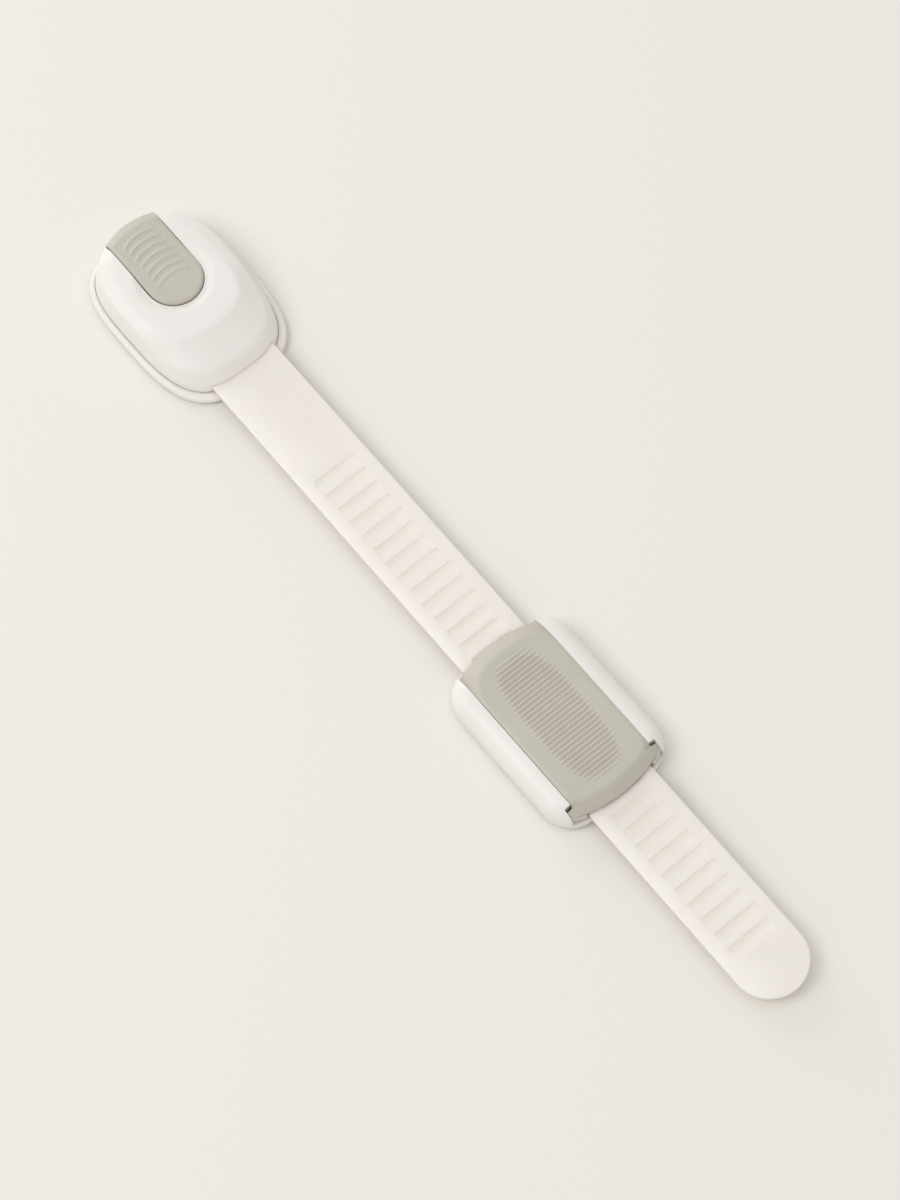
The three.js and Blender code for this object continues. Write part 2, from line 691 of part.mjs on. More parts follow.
// The adjuster's rounded-rectangle outline, drawn in by an amount all round.
function adjusterOutline(inset) {
  const steps = 6;
  const radius = ADJUSTER_CORNER - inset;
  const halfLength = ADJUSTER_LENGTH / 2 - ADJUSTER_CORNER;
  const halfWidth = ADJUSTER_WIDTH / 2 - ADJUSTER_CORNER;
  const points = [];
  [
    [1, 1],
    [-1, 1],
    [-1, -1],
    [1, -1],
  ].forEach(([endX, endY], corner) => {
    for (let i = 0; i <= steps; i++) {
      const angle = (Math.PI / 2) * (corner + i / steps);
      points.push([
        ADJUSTER_X + endX * halfLength + radius * Math.cos(angle),
        endY * halfWidth + radius * Math.sin(angle),
      ]);
    }
  });
  return points;
}

function adjusterPad() {
  return prism(adjusterOutline(PAD_INSET), 0, PAD_THICK);
}

function adjusterBasePlate() {
  let plate = stack([
    { z: baseBottom, points: adjusterOutline(BASE_EDGE) },
    { z: baseBottom + BASE_EDGE, points: adjusterOutline(0) },
    { z: plateTop, points: adjusterOutline(0) },
  ]);
  const seat = baseBottom + SCREW_HEAD_HEIGHT + SEAT;
  for (const side of SIDES) {
    const y = side * plateScrewY;
    plate = plate
      .subtract(post(ADJUSTER_X, y, SCREW_HEAD_RADIUS + FIT, 0, seat))
      .subtract(post(ADJUSTER_X, y, SCREW_RADIUS + TURN, 0, crownZ));
  }
  return plate;
}

function adjusterBody() {
  let body = stack([
    { z: bodyBottom, points: adjusterOutline(0) },
    ...rounding(RAIL_ROUND_DOWN, 5).map(({ drop, share }) => ({
      z: railTop - drop,
      points: adjusterOutline(share * RAIL_ROUND_IN),
    })),
  ]);
  body = body
    .subtract(block(adjusterBack - FIT, adjusterFront + FIT, -channelHalf, channelHalf, floorTop, crownZ))
    .subtract(block(railEndX, adjusterFront + FIT, -earSpace, earSpace, floorTop, crownZ));
  const low = floorTop - MERGE;
  const guideStart = adjusterBack + GUIDE_BACK;
  const guideInner = STRAP_WIDTH / 2 + FIT;
  const guideOuter = guideInner + GUIDE_THICK;
  const postStart = pivotX - POST_LENGTH / 2;
  const postEnd = pivotX + POST_LENGTH / 2;
  const grooveStart = ADJUSTER_X + TONGUE_START - FIT;
  const grooveInner = channelHalf - MERGE;
  const grooveOuter = channelHalf + GROOVE_DEPTH;
  const grooveLow = floorTop + GROOVE_BOTTOM;
  const grooveTop = grooveLow + GROOVE_HEIGHT;
  const pilotTop = bodyBottom + SCREW_REACH + FIT;
  for (const side of SIDES) {
    body = body
      .add(sideBlock(side, guideStart, railEndX, guideInner, guideOuter, low, floorTop + GUIDE_HEIGHT))
      .add(sideBlock(side, postStart, postEnd, POST_INNER / 2, channelHalf + MERGE, low, postTop))
      .subtract(sideBlock(side, grooveStart, postStart, grooveInner, grooveOuter, grooveLow, grooveTop))
      .subtract(post(ADJUSTER_X, side * plateScrewY, SCREW_RADIUS + TURN, 0, pilotTop));
  }
  return body.subtract(rodAlongY(pivotX, pivotZ, PAWL_PIN_RADIUS + TURN, 2 * channelHalf));
}

// The lock slide's outline: bowed lip and nose, straight sides, drawn in by separate amounts.
function lockOutline(side, lip, nose) {
  const half = LOCK_WIDTH / 2 - side;
  const steps = 10;
  const points = [];
  for (let i = 0; i <= steps; i++) {
    const y = half * ((2 * i) / steps - 1);
    points.push([adjusterFront - nose - NOSE_SAG * (y / half) ** 2, y]);
  }
  for (let i = 0; i <= steps; i++) {
    const y = half * (1 - (2 * i) / steps);
    points.push([adjusterBack - LIP_OVERHANG + lip + LIP_SAG * (y / half) ** 2, y]);
  }
  return points;
}

// The two ears in front of the rails' ends, which follow the body's rounded corners.
function lockEar(side) {
  const low = floorTop + FIT;
  const form = stack([
    { z: low, points: adjusterOutline(EAR_INSET) },
    { z: low + EAR_HEIGHT - EAR_ROUND, points: adjusterOutline(EAR_INSET) },
    { z: low + EAR_HEIGHT, points: adjusterOutline(EAR_INSET + EAR_ROUND) },
  ]);
  const rear = railEndX + EAR_GAP;
  return form.intersect(sideBlock(side, rear, adjusterFront, EAR_INNER / 2, EAR_SPREAD / 2, low, lockTop));
}

// The slanted slot that a peg of the pawl runs in while the slide travels.
function camSlot() {
  const lift = CAM_PEG * Math.sin(pawlLift);
  const run = Math.hypot(LOCK_TRAVEL, lift);
  const reach = CAM_PEG_RADIUS + SEAT;
  const along = [-LOCK_TRAVEL / run, lift / run];
  const across = [lift / run, LOCK_TRAVEL / run];
  const corner = (distance, offset) => [
    pegX + along[0] * distance + across[0] * offset,
    pegZ + along[1] * distance + across[1] * offset,
  ];
  const end = run + reach;
  return sideForm(
    [corner(-reach, -reach), corner(-reach, reach), corner(end, reach), corner(end, -reach)],
    LOCK_WIDTH,
  );
}

// Cross furrows that leave ribs between them, and fade out at the edge of an oval.
function gripFurrows() {
  const first = ADJUSTER_X + FURROW_FIRST;
  const floor = lockTop - FURROW_DEPTH;
  const above = lockTop + MERGE;
  const comb = [];
  for (let i = 0; i < FURROW_COUNT; i++) {
    const x = first + i * FURROW_PITCH;
    comb.push([x - FURROW_WIDTH / 2, lockTop], [x, floor], [x + FURROW_WIDTH / 2, lockTop]);
  }
  const last = first + (FURROW_COUNT - 1) * FURROW_PITCH;
  comb.push([last + FURROW_WIDTH / 2, above], [first - FURROW_WIDTH / 2, above]);
  const middle = (first + last) / 2;
  const field = {
    front: middle + FIELD_LENGTH / 2,
    back: middle - FIELD_LENGTH / 2,
    half: FIELD_WIDTH / 2,
    waist: middle,
    power: FIELD_POWER,
  };
  const dish = stack([
    { z: floor - BOND, points: oval(shrunk(field, FIELD_FADE)) },
    { z: lockTop, points: oval(field) },
    { z: above + BOND, points: oval(field) },
  ]);
  return sideForm(comb, FIELD_WIDTH).intersect(dish);
}

function lockSlide() {
  const outer = stack([
    { z: lockBottom, points: lockOutline(0, 0, 0) },
    ...rounding(LOCK_ROUND_DOWN).map(({ drop, share }) => ({
      z: lockTop - drop,
      points: lockOutline(share * LOCK_ROUND_SIDE, share * LOCK_ROUND_LIP, share * LOCK_ROUND_NOSE),
    })),
  ]);
  const hollow = prism(lockOutline(LOCK_SKIRT, LIP_WALL, NOSE_SOLID), strapBottom, lockCeiling);
  let slide = outer.subtract(hollow);
  const tongueStart = ADJUSTER_X + TONGUE_START;
  const tongueEnd = tongueStart + TONGUE_LENGTH;
  const tongueOuter = channelHalf + GROOVE_DEPTH - FIT;
  const tongueLow = floorTop + GROOVE_BOTTOM + FIT;
  const tongueTop = tongueLow + GROOVE_HEIGHT - 2 * FIT;
  const skirtInner = LOCK_WIDTH / 2 - MERGE;
  const postBack = pivotX - POST_LENGTH / 2 - LOCK_TRAVEL - FIT;
  const postFront = pivotX + POST_LENGTH / 2 + FIT;
  const postInner = POST_INNER / 2 - FIT;
  const camFront = pegX + CAM_MARGIN;
  const camBack = pegX - LOCK_TRAVEL - CAM_MARGIN;
  const camInner = CAM_INNER / 2;
  const camOuter = camInner + CAM_THICK;
  const camBottom = strapTop + SEAT;
  const camTop = lockCeiling + MERGE;
  const slot = camSlot();
  for (const side of SIDES) {
    const cam = sideBlock(side, camBack, camFront, camInner, camOuter, camBottom, camTop);
    slide = slide
      .subtract(sideBlock(side, postBack, postFront, postInner, LOCK_WIDTH, strapBottom, postTop + FIT))
      .add(sideBlock(side, tongueStart, tongueEnd, skirtInner, tongueOuter, tongueLow, tongueTop))
      .add(lockEar(side))
      .add(cam.subtract(slot));
  }
  return slide.subtract(gripFurrows());
}

function lockingPawl() {
  const half = PAWL_WIDTH / 2;
  const top = pawlBottom + PAWL_THICK;
  let pawl = block(pawlEndX, pivotX, -half, half, pawlBottom, top)
    .add(rodAlongY(pivotX, pivotZ, PAWL_HUB, PAWL_WIDTH))
    .add(rodAlongY(pegX, pegZ, CAM_PEG_RADIUS, CAM_PEG_WIDTH));
  const play = (POCKET_FLOOR - TOOTH_LENGTH) / 2;
  const reach = TOOTH_WIDTH / 2;
  for (let i = 0; i < TOOTH_COUNT; i++) {
    const x = firstToothX + i * TOOTH_PITCH + play;
    pawl = pawl.add(block(x, x + TOOTH_LENGTH, -reach, reach, strapTop - TOOTH_BITE, pawlBottom + MERGE));
  }
  return pawl.subtract(rodAlongY(pivotX, pivotZ, PAWL_PIN_RADIUS + TURN, 2 * PAWL_WIDTH));
}

function pawlPin() {
  return rodAlongY(pivotX, pivotZ, PAWL_PIN_RADIUS, 2 * channelHalf - FIT);
}

const white = { color: 0xf2ede6, roughness: 0.45 };
const grey = { color: 0xc3c0b2, roughness: 0.5 };
const frosted = { color: 0xeee7de, roughness: 0.4 };
const foam = { color: 0xdad7d0, roughness: 0.95 };
const steel = { color: 0xb9bcc0, roughness: 0.3, metalness: 1 };
const acetal = { color: 0xe4e2dc, roughness: 0.4 };

function named(name, shape, look) {
  const mesh = new THREE.Mesh(geometryOf(shape), new THREE.MeshStandardMaterial(look));
  mesh.name = name;
  return mesh;
}

const head = new THREE.Group();
const chassisScrewZ = chassisBottom + SEAT / 2;
const chassisShank = CHASSIS_THICK - SCREW_HEAD_HEIGHT + SCREW_REACH;
head.add(
  named("head_adhesive_pad", headPad(), foam),
  named("head_base_plate", headBasePlate(), white),
  named("head_shell", headShell(), white),
  named("head_chassis", headChassis(), acetal),
  named("release_slide", releaseSlide(), grey),
  named("catch_spring", catchSpring(), steel),
  named("return_spring", returnSpring(), steel),
  named("chassis_screw_left", screw(SCREW_X, -screwY, chassisScrewZ, chassisShank), steel),
  named("chassis_screw_right", screw(SCREW_X, screwY, chassisScrewZ, chassisShank), steel),
);

const strap = new THREE.Group();
strap.add(
  named("strap_root", strapRoot(), frosted),
  named("strap_flex", strapFlex(), frosted),
  named("strap_rack", strapRack(), frosted),
);

const adjuster = new THREE.Group();
const plateScrewZ = baseBottom + SEAT / 2;
const plateShank = ADJUSTER_PLATE - SCREW_HEAD_HEIGHT + SCREW_REACH - SEAT;
adjuster.add(
  named("adjuster_adhesive_pad", adjusterPad(), foam),
  named("adjuster_base_plate", adjusterBasePlate(), white),
  named("adjuster_body", adjusterBody(), white),
  named("lock_slide", lockSlide(), grey),
  named("locking_pawl", lockingPawl(), acetal),
  named("pawl_pin", pawlPin(), steel),
  named("adjuster_screw_left", screw(ADJUSTER_X, -plateScrewY, plateScrewZ, plateShank), steel),
  named("adjuster_screw_right", screw(ADJUSTER_X, plateScrewY, plateScrewZ, plateShank), steel),
);

const lock = new THREE.Group();
lock.add(head, strap, adjuster);

export default lock;
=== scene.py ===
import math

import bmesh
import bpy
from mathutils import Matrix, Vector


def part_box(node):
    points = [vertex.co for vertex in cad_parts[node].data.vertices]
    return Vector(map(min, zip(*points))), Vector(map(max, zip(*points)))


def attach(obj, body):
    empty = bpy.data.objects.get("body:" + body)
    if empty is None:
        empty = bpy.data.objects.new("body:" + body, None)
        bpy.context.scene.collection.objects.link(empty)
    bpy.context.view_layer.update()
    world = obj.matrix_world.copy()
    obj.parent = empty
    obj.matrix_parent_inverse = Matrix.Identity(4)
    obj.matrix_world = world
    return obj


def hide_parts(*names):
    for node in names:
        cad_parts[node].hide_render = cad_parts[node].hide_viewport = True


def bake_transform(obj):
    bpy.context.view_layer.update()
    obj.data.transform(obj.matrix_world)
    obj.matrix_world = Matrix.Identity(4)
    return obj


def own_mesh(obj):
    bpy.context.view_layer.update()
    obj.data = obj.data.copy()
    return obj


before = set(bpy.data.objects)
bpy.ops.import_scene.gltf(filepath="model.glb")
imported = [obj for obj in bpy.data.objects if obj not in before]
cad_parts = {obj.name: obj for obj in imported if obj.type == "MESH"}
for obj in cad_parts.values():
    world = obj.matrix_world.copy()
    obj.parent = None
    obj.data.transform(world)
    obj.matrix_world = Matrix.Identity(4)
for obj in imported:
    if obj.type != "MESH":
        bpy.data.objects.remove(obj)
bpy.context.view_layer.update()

# %% [markdown]
# # An adhesive strap lock, dressed for its photograph
# The lock has two white housings that are stuck to furniture, a grey grip in each of them, and one frosted
# strap with a row of saw-tooth pockets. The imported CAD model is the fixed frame: every piece below goes
# where its solid is. The shapes are modelled in millimetres and made metres at the very end of each piece,
# because some of Blender's operators have tolerances that would be as large as the gaps of this lock in
# metres.

# %% [markdown]
# ## The camera first
# The photograph looks down on the lock at a slant, with little perspective. A long lens far away gives
# that: 100 mm on a 36 mm sensor, 0.7 m from the middle of the strap. Setting it first lets each piece be
# judged as it is made.

# %% Camera at the photograph's angle
TARGET = Vector((0.08708, 0.00085, 0))
AZIMUTH = math.radians(50.565)
ELEVATION = math.radians(67.98)
DISTANCE = 0.697

towards_eye = Vector((
    math.sin(AZIMUTH) * math.cos(ELEVATION),
    -math.cos(AZIMUTH) * math.cos(ELEVATION),
    math.sin(ELEVATION),
))
bpy.ops.object.select_all(action="DESELECT")
bpy.ops.object.camera_add(location=TARGET + towards_eye * DISTANCE)
camera = bpy.context.active_object
camera.rotation_euler = towards_eye.to_track_quat("Z", "Y").to_euler()
camera.data.lens = 100
camera.data.sensor_width = 36
camera.data.clip_start = 0.01
bpy.context.scene.camera = camera
print("camera at", tuple(round(v, 3) for v in camera.location))

# %% [markdown]
# ## Small tools for modelling by operator
# An operator acts on whatever is selected, so each tool starts from a clean selection. One tool adds a
# primitive, one picks vertices, edges or faces by their place, one moves what is picked, and one adds a
# modifier and applies it.

# %% Adding, picking and moving
NEARLY = 0.01


def place(add, name, **size):
    bpy.ops.object.select_all(action="DESELECT")
    add(**size)
    piece = bpy.context.active_object
    piece.name = name
    return piece


def pick(piece, kind, test):
    bpy.ops.mesh.select_mode(type=kind)
    bpy.ops.mesh.select_all(action="DESELECT")
    mesh = bmesh.from_edit_mesh(piece.data)
    parts = {"VERT": mesh.verts, "EDGE": mesh.edges, "FACE": mesh.faces}[kind]
    for part in parts:
        part.select_set(test(part))
    mesh.select_flush_mode()
    bmesh.update_edit_mesh(piece.data)


def pick_points(piece):
    pick(piece, "VERT", lambda v: True)


def lay(piece, where):
    mesh = bmesh.from_edit_mesh(piece.data)
    for vertex in mesh.verts:
        if vertex.select:
            vertex.co = where(vertex.co)
    bmesh.update_edit_mesh(piece.data)


def edit(on):
    bpy.ops.object.mode_set(mode="EDIT" if on else "OBJECT")


def turn_outwards():
    bpy.ops.mesh.select_all(action="SELECT")
    bpy.ops.mesh.normals_make_consistent(inside=False)


def only(piece):
    bpy.ops.object.select_all(action="DESELECT")
    piece.select_set(True)
    bpy.context.view_layer.objects.active = piece


def modify(piece, kind, **settings):
    only(piece)
    modifier = piece.modifiers.new(kind.lower(), kind)
    for key, value in settings.items():
        setattr(modifier, key, value)
    bpy.ops.object.modifier_apply(modifier=modifier.name)


# %% [markdown]
# Joining and cutting are Boolean modifiers with the exact solver. The tool object is used up by it, so it
# is removed. The tools are mostly blocks and round bars, and most of them come in pairs, one on each side.

# %% Cutting and joining
SOFT_STEPS, ROD_SIDES = 2, 40


def combine(piece, tool, operation):
    modify(piece, "BOOLEAN", object=tool, operation=operation, solver="EXACT")
    bpy.data.objects.remove(tool)


def cut(piece, *tools):
    for tool in tools:
        combine(piece, tool, "DIFFERENCE")


def join(piece, *tools):
    for tool in tools:
        combine(piece, tool, "UNION")


def bar(x0, x1, y0, y1, z0, z1, soft=0):
    """A block between six planes, with its edges broken by a small bevel where it shows."""
    middle = ((x0 + x1) / 2, (y0 + y1) / 2, (z0 + z1) / 2)
    piece = place(bpy.ops.mesh.primitive_cube_add, "bar", size=1, location=middle)
    piece.scale = (x1 - x0, y1 - y0, z1 - z0)
    bpy.ops.object.transform_apply(location=True, rotation=False, scale=True)
    if soft:
        modify(piece, "BEVEL", width=soft, segments=SOFT_STEPS)
    return piece


def rod(x, y, z0, z1, radius, soft=0):
    """An upright round bar, with its rims broken by a small bevel where it shows."""
    piece = place(
        bpy.ops.mesh.primitive_cylinder_add, "rod", vertices=ROD_SIDES, radius=radius, depth=z1 - z0,
        location=(x, y, (z0 + z1) / 2),
    )
    bpy.ops.object.transform_apply(location=True, rotation=False, scale=True)
    if soft:
        modify(piece, "BEVEL", width=soft, segments=SOFT_STEPS, limit_method="ANGLE")
    return piece


def both_sides(make):
    return [make(side) for side in (1, -1)]


def side_bar(side, x0, x1, inner, outer, z0, z1, soft=0):
    low, high = sorted((side * inner, side * outer))
    return bar(x0, x1, low, high, z0, z1, soft)


# %% [markdown]
# The last two tools finish a piece. The first merges doubles, turns the faces outwards, makes millimetres
# metres and shades smoothly up to an angle. The second gives the piece its finish and hides the CAD nodes
# that it stands for.

# %% Finishing a piece
MM = 0.001
DOUBLES_WITHIN = 0.0005


def close_up(piece, angle=35):
    only(piece)
    edit(True)
    bpy.ops.mesh.select_all(action="SELECT")
    bpy.ops.mesh.remove_doubles(threshold=DOUBLES_WITHIN)
    bpy.ops.mesh.normals_make_consistent(inside=False)
    edit(False)
    piece.scale = (MM, MM, MM)
    bpy.ops.object.transform_apply(location=True, rotation=True, scale=True)
    bpy.ops.object.shade_smooth_by_angle(angle=math.radians(angle))
    piece.data.name = piece.name
    low = [min(v.co[i] for v in piece.data.vertices) / MM for i in range(3)]
    high = [max(v.co[i] for v in piece.data.vertices) / MM for i in range(3)]
    print(piece.name, len(piece.data.polygons), "faces", [f"{a:.2f}..{b:.2f}" for a, b in zip(low, high)])


def dress(piece, finish, slot, *nodes):
    piece.data.materials.clear()
    piece.data.materials.append(finish)
    if nodes:
        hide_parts(*nodes)


# %% [markdown]
# ## Finishes
# All moulded plastics share one effect: a fine spark-eroded grain, a slow drift of tone, and a roughness
# that changes from place to place. It is a node group, so each plastic sets its own strengths. Four small
# helpers keep the wiring short.

# %% Node helpers
def group_socket(group, name, way, default=None, kind="NodeSocketFloat"):
    socket = group.interface.new_socket(name=name, in_out=way, socket_type=kind)
    if default is not None:
        socket.default_value = default


def noise_node(tree, source, scale, detail, roughness=0.5):
    node = tree.nodes.new("ShaderNodeTexNoise")
    node.inputs["Scale"].default_value = scale
    node.inputs["Detail"].default_value = detail
    node.inputs["Roughness"].default_value = roughness
    tree.links.new(source, node.inputs["Vector"])
    return node.outputs["Fac"]


def spread(tree, noise, to_low, to_high):
    """Stretches the middle of a noise, where nearly all of its values lie, over a wider range."""
    node = tree.nodes.new("ShaderNodeMapRange")
    for name, value in (("From Min", 0.3), ("From Max", 0.7), ("To Min", to_low), ("To Max", to_high)):
        node.inputs[name].default_value = value
    tree.links.new(noise, node.inputs["Value"])
    return node.outputs["Result"]


def reckon(tree, operation, a, b):
    node = tree.nodes.new("ShaderNodeMath")
    node.operation = operation
    for socket, value in zip(node.inputs, (a, b)):
        if isinstance(value, (int, float)):
            socket.default_value = value
        else:
            tree.links.new(value, socket)
    return node.outputs[0]


# %% The moulded-grain group
GRAIN_SCALE = 2600

grain = bpy.data.node_groups.new("moulded_grain", "ShaderNodeTree")
group_socket(grain, "Vector", "INPUT", kind="NodeSocketVector")
group_socket(grain, "Grain Scale", "INPUT", GRAIN_SCALE)
group_socket(grain, "Base Roughness", "INPUT", 0.45)
group_socket(grain, "Drift", "INPUT", 0.03)
for output_name in ("Height", "Roughness", "Tone"):
    group_socket(grain, output_name, "OUTPUT")
entry = grain.nodes.new("NodeGroupInput")
leave = grain.nodes.new("NodeGroupOutput")
fine = grain.nodes.new("ShaderNodeTexNoise")
fine.inputs["Detail"].default_value = 3
grain.links.new(entry.outputs["Vector"], fine.inputs["Vector"])
grain.links.new(entry.outputs["Grain Scale"], fine.inputs["Scale"])
cloud = noise_node(grain, entry.outputs["Vector"], scale=70, detail=2)
smear = noise_node(grain, entry.outputs["Vector"], scale=420, detail=4, roughness=0.65)
grain.links.new(fine.outputs["Fac"], leave.inputs["Height"])
ripple = spread(grain, smear, -0.05, 0.05)
grain.links.new(reckon(grain, "ADD", entry.outputs["Base Roughness"], ripple), leave.inputs["Roughness"])
swing = reckon(grain, "MULTIPLY", spread(grain, cloud, -1, 1), entry.outputs["Drift"])
speck = spread(grain, fine.outputs["Fac"], -0.012, 0.012)
tone = reckon(grain, "ADD", reckon(grain, "ADD", swing, speck), 0.5)
grain.links.new(tone, leave.inputs["Tone"])
print("moulded_grain:", len(grain.nodes), "nodes")


# %% [markdown]
# A plastic mixes two close colours by the group's tone, and lets the grain's height tilt the surface a
# little. What is the same all over, such as the gloss level, is set on the shader itself.

# %% Plastics
GRAIN_DEPTH = 0.00004


def colour_mix(tree, factor, light):
    """A mix towards a light colour; what it starts from is set or linked afterwards."""
    node = tree.nodes.new("ShaderNodeMix")
    node.data_type = "RGBA"
    node.inputs["B"].default_value = (*light, 1)
    tree.links.new(factor, node.inputs["Factor"])
    return node


def plastic(name, dark, light, roughness, drift, bump, grain_scale=GRAIN_SCALE):
    finish = bpy.data.materials.new(name)
    finish.use_nodes = True
    tree = finish.node_tree
    shader = tree.nodes["Principled BSDF"]
    place_node = tree.nodes.new("ShaderNodeTexCoord")
    effect = tree.nodes.new("ShaderNodeGroup")
    effect.node_tree = grain
    effect.inputs["Grain Scale"].default_value = grain_scale
    effect.inputs["Base Roughness"].default_value = roughness
    effect.inputs["Drift"].default_value = drift
    tree.links.new(place_node.outputs["Object"], effect.inputs["Vector"])
    colours = colour_mix(tree, effect.outputs["Tone"], light)
    colours.inputs["A"].default_value = (*dark, 1)
    relief = tree.nodes.new("ShaderNodeBump")
    relief.inputs["Strength"].default_value = bump
    relief.inputs["Distance"].default_value = GRAIN_DEPTH
    tree.links.new(effect.outputs["Height"], relief.inputs["Height"])
    tree.links.new(colours.outputs["Result"], shader.inputs["Base Color"])
    tree.links.new(effect.outputs["Roughness"], shader.inputs["Roughness"])
    tree.links.new(relief.outputs["Normal"], shader.inputs["Normal"])
    return finish


def linear(red, green, blue):
    """A colour as a paint program writes it, from 0 to 255, made a colour that the shader reads."""
    def one(value):
        value /= 255
        return value / 12.92 if value <= 0.04045 else ((value + 0.055) / 1.055) ** 2.4
    return tuple(one(v) for v in (red, green, blue))


white_plastic = plastic(
    "white_abs", linear(234, 230, 227), linear(248, 244, 242), roughness=0.42, drift=0.12, bump=0.25,
)
grey_plastic = plastic(
    "warm_grey_abs", linear(190, 186, 175), linear(206, 202, 191), roughness=0.5, drift=0.16, bump=0.35,
)
inner_plastic = plastic(
    "natural_acetal", linear(214, 210, 201), linear(230, 227, 219), roughness=0.38, drift=0.2, bump=0.2,
)
print("plastics:", white_plastic.name, grey_plastic.name, inner_plastic.name)

# %% [markdown]
# The strap is frosted thermoplastic rubber: light goes in, scatters and comes out a little further on.
# Subsurface scattering over a few millimetres gives that milky look without making the strap see-through.
# Red has the shortest way, so the thin strap loses least of it and stays warm. The pockets' floors are tinted
# a little warmer and darker: painted shade, for the shaded ground that shows through their thinner plastic.
# The strap's mesh carries that thinness as an attribute of its own, so that the painted shade stays in the
# pockets if the strap is bent.

# %% Frosted strap
frosted = plastic(
    "frosted_strap", linear(250, 237, 231), linear(255, 246, 242), roughness=0.4, drift=0.2, bump=0.3,
    grain_scale=1800,
)
frosted_tree = frosted.node_tree
frosted_shader = frosted_tree.nodes["Principled BSDF"]
frosted_shader.inputs["Subsurface Weight"].default_value = 1.0
frosted_shader.inputs["Subsurface Radius"].default_value = (0.65, 0.8, 0.85)
frosted_shader.inputs["Subsurface Scale"].default_value = 0.0025
# Painted shade: the pocket floors are tinted a little warmer and darker through the mesh's mask.
thin = frosted_tree.nodes.new("ShaderNodeAttribute")
thin.attribute_name = "pocket_shade_mask"
painted_pocket_shade = colour_mix(frosted_tree, thin.outputs["Fac"], linear(254, 240, 231))
moulded = frosted_shader.inputs["Base Color"].links[0].from_socket
frosted_tree.links.new(moulded, painted_pocket_shade.inputs["A"])
frosted_tree.links.new(painted_pocket_shade.outputs["Result"], frosted_shader.inputs["Base Color"])
print("strap finish:", frosted.name)

# %% [markdown]
# Foam tape has open cells, which a Voronoi texture gives at the right size, a quarter of a millimetre. The
# springs, screws and pin are drawn steel: the same group at a much finer scale breaks up the shine.

# %% Foam tape and steel
CELLS_PER_METRE, CELL_DEPTH = 4000, 0.0001

foam_tape = plastic(
    "foam_tape", linear(206, 202, 193), linear(226, 223, 215), roughness=0.85, drift=0.3, bump=0.2,
    grain_scale=900,
)
foam_tree = foam_tape.node_tree
cells = foam_tree.nodes.new("ShaderNodeTexVoronoi")
cells.inputs["Scale"].default_value = CELLS_PER_METRE
foam_place = next(n for n in foam_tree.nodes if n.type == "TEX_COORD")
foam_relief = next(n for n in foam_tree.nodes if n.type == "BUMP")
foam_tree.links.new(foam_place.outputs["Object"], cells.inputs["Vector"])
foam_tree.links.new(cells.outputs["Distance"], foam_relief.inputs["Height"])
foam_relief.inputs["Strength"].default_value = 0.5
foam_relief.inputs["Distance"].default_value = CELL_DEPTH

steel = plastic(
    "drawn_steel", linear(176, 178, 181), linear(204, 206, 209), roughness=0.3, drift=0.3, bump=0.15,
    grain_scale=5200,
)
steel.node_tree.nodes["Principled BSDF"].inputs["Metallic"].default_value = 1
print("finishes:", foam_tape.name, steel.name)

# %% [markdown]
# ## Outlines
# Both housings are stacks of outlines. The head's is an egg-shaped oval, blunter than an ellipse; the
# adjuster's is a rectangle with round corners. Each outline is a list of points at even steps of turn, so
# rings match point for point.

# %% Oval and rounded rectangle
WAIST = -3.5


def oval(front, back, half, power, count):
    points = []
    for i in range(count):
        angle = math.tau * i / count
        along, across = math.cos(angle), math.sin(angle)
        reach = front - WAIST if along > 0 else WAIST - back
        x = WAIST + reach * math.copysign(abs(along) ** (2 / power), along)
        points.append((x, half * math.copysign(abs(across) ** (2 / power), across)))
    return points


ADJUSTER_MIDDLE = 122.8
ADJUSTER_HALF_LENGTH = 20.6
ADJUSTER_HALF_WIDTH = 14.9
ADJUSTER_CORNER = 7.2


def rounded_rectangle(inset, count=96):
    radius = ADJUSTER_CORNER - inset
    points = []
    for i in range(count):
        quarter, step = divmod(i, count // 4)
        angle = math.pi / 2 * (quarter + step / (count // 4 - 1))
        end_x = 1 if quarter in (0, 3) else -1
        end_y = 1 if quarter in (0, 1) else -1
        points.append((
            ADJUSTER_MIDDLE + end_x * (ADJUSTER_HALF_LENGTH - ADJUSTER_CORNER) + radius * math.cos(angle),
            end_y * (ADJUSTER_HALF_WIDTH - ADJUSTER_CORNER) + radius * math.sin(angle),
        ))
    return points


# %% [markdown]
# A stack is drawn as by hand: a filled circle is extruded upwards once for each ring, which makes a plain
# tower, and then every ring is laid on its own outline and height. A point may have a lift as well, which
# raises it over its ring. Pieces with one shape all the way across are drawn from the side instead.

# %% Stacking outlines
def stack(name, rings):
    count = len(rings[0][1])
    piece = place(bpy.ops.mesh.primitive_circle_add, name, vertices=count, radius=1, fill_type="NGON")
    edit(True)
    for _ in rings[1:]:
        bpy.ops.mesh.extrude_region_move(TRANSFORM_OT_translate={"value": (0, 0, 1)})
    turn_outwards()

    def ring_place(co):
        height, points = rings[round(co.z)]
        x, y, *lift = points[round(math.atan2(co.y, co.x) / math.tau * count) % count]
        return Vector((x, y, height + sum(lift)))

    lay(piece, ring_place)
    edit(False)
    return piece


def side_form(name, points, half):
    """An outline drawn from the side, as X and Z, and extruded across to both sides of the middle."""
    piece = place(bpy.ops.mesh.primitive_circle_add, name, vertices=len(points), fill_type="NGON")
    for vertex, (x, z) in zip(piece.data.vertices, points):
        vertex.co = (x, -half, z)
    edit(True)
    bpy.ops.mesh.select_all(action="SELECT")
    bpy.ops.mesh.extrude_region_move(TRANSFORM_OT_translate={"value": (0, 2 * half, 0)})
    turn_outwards()
    edit(False)
    return piece


def round_over(inset, drop, steps):
    """A quarter-round edge: pairs of how far in and how far below the top, from the wall to the top."""
    turns = [math.pi / 2 * i / steps for i in range(steps + 1)]
    return [(inset * (1 - math.cos(t)), drop * (1 - math.sin(t))) for t in turns]


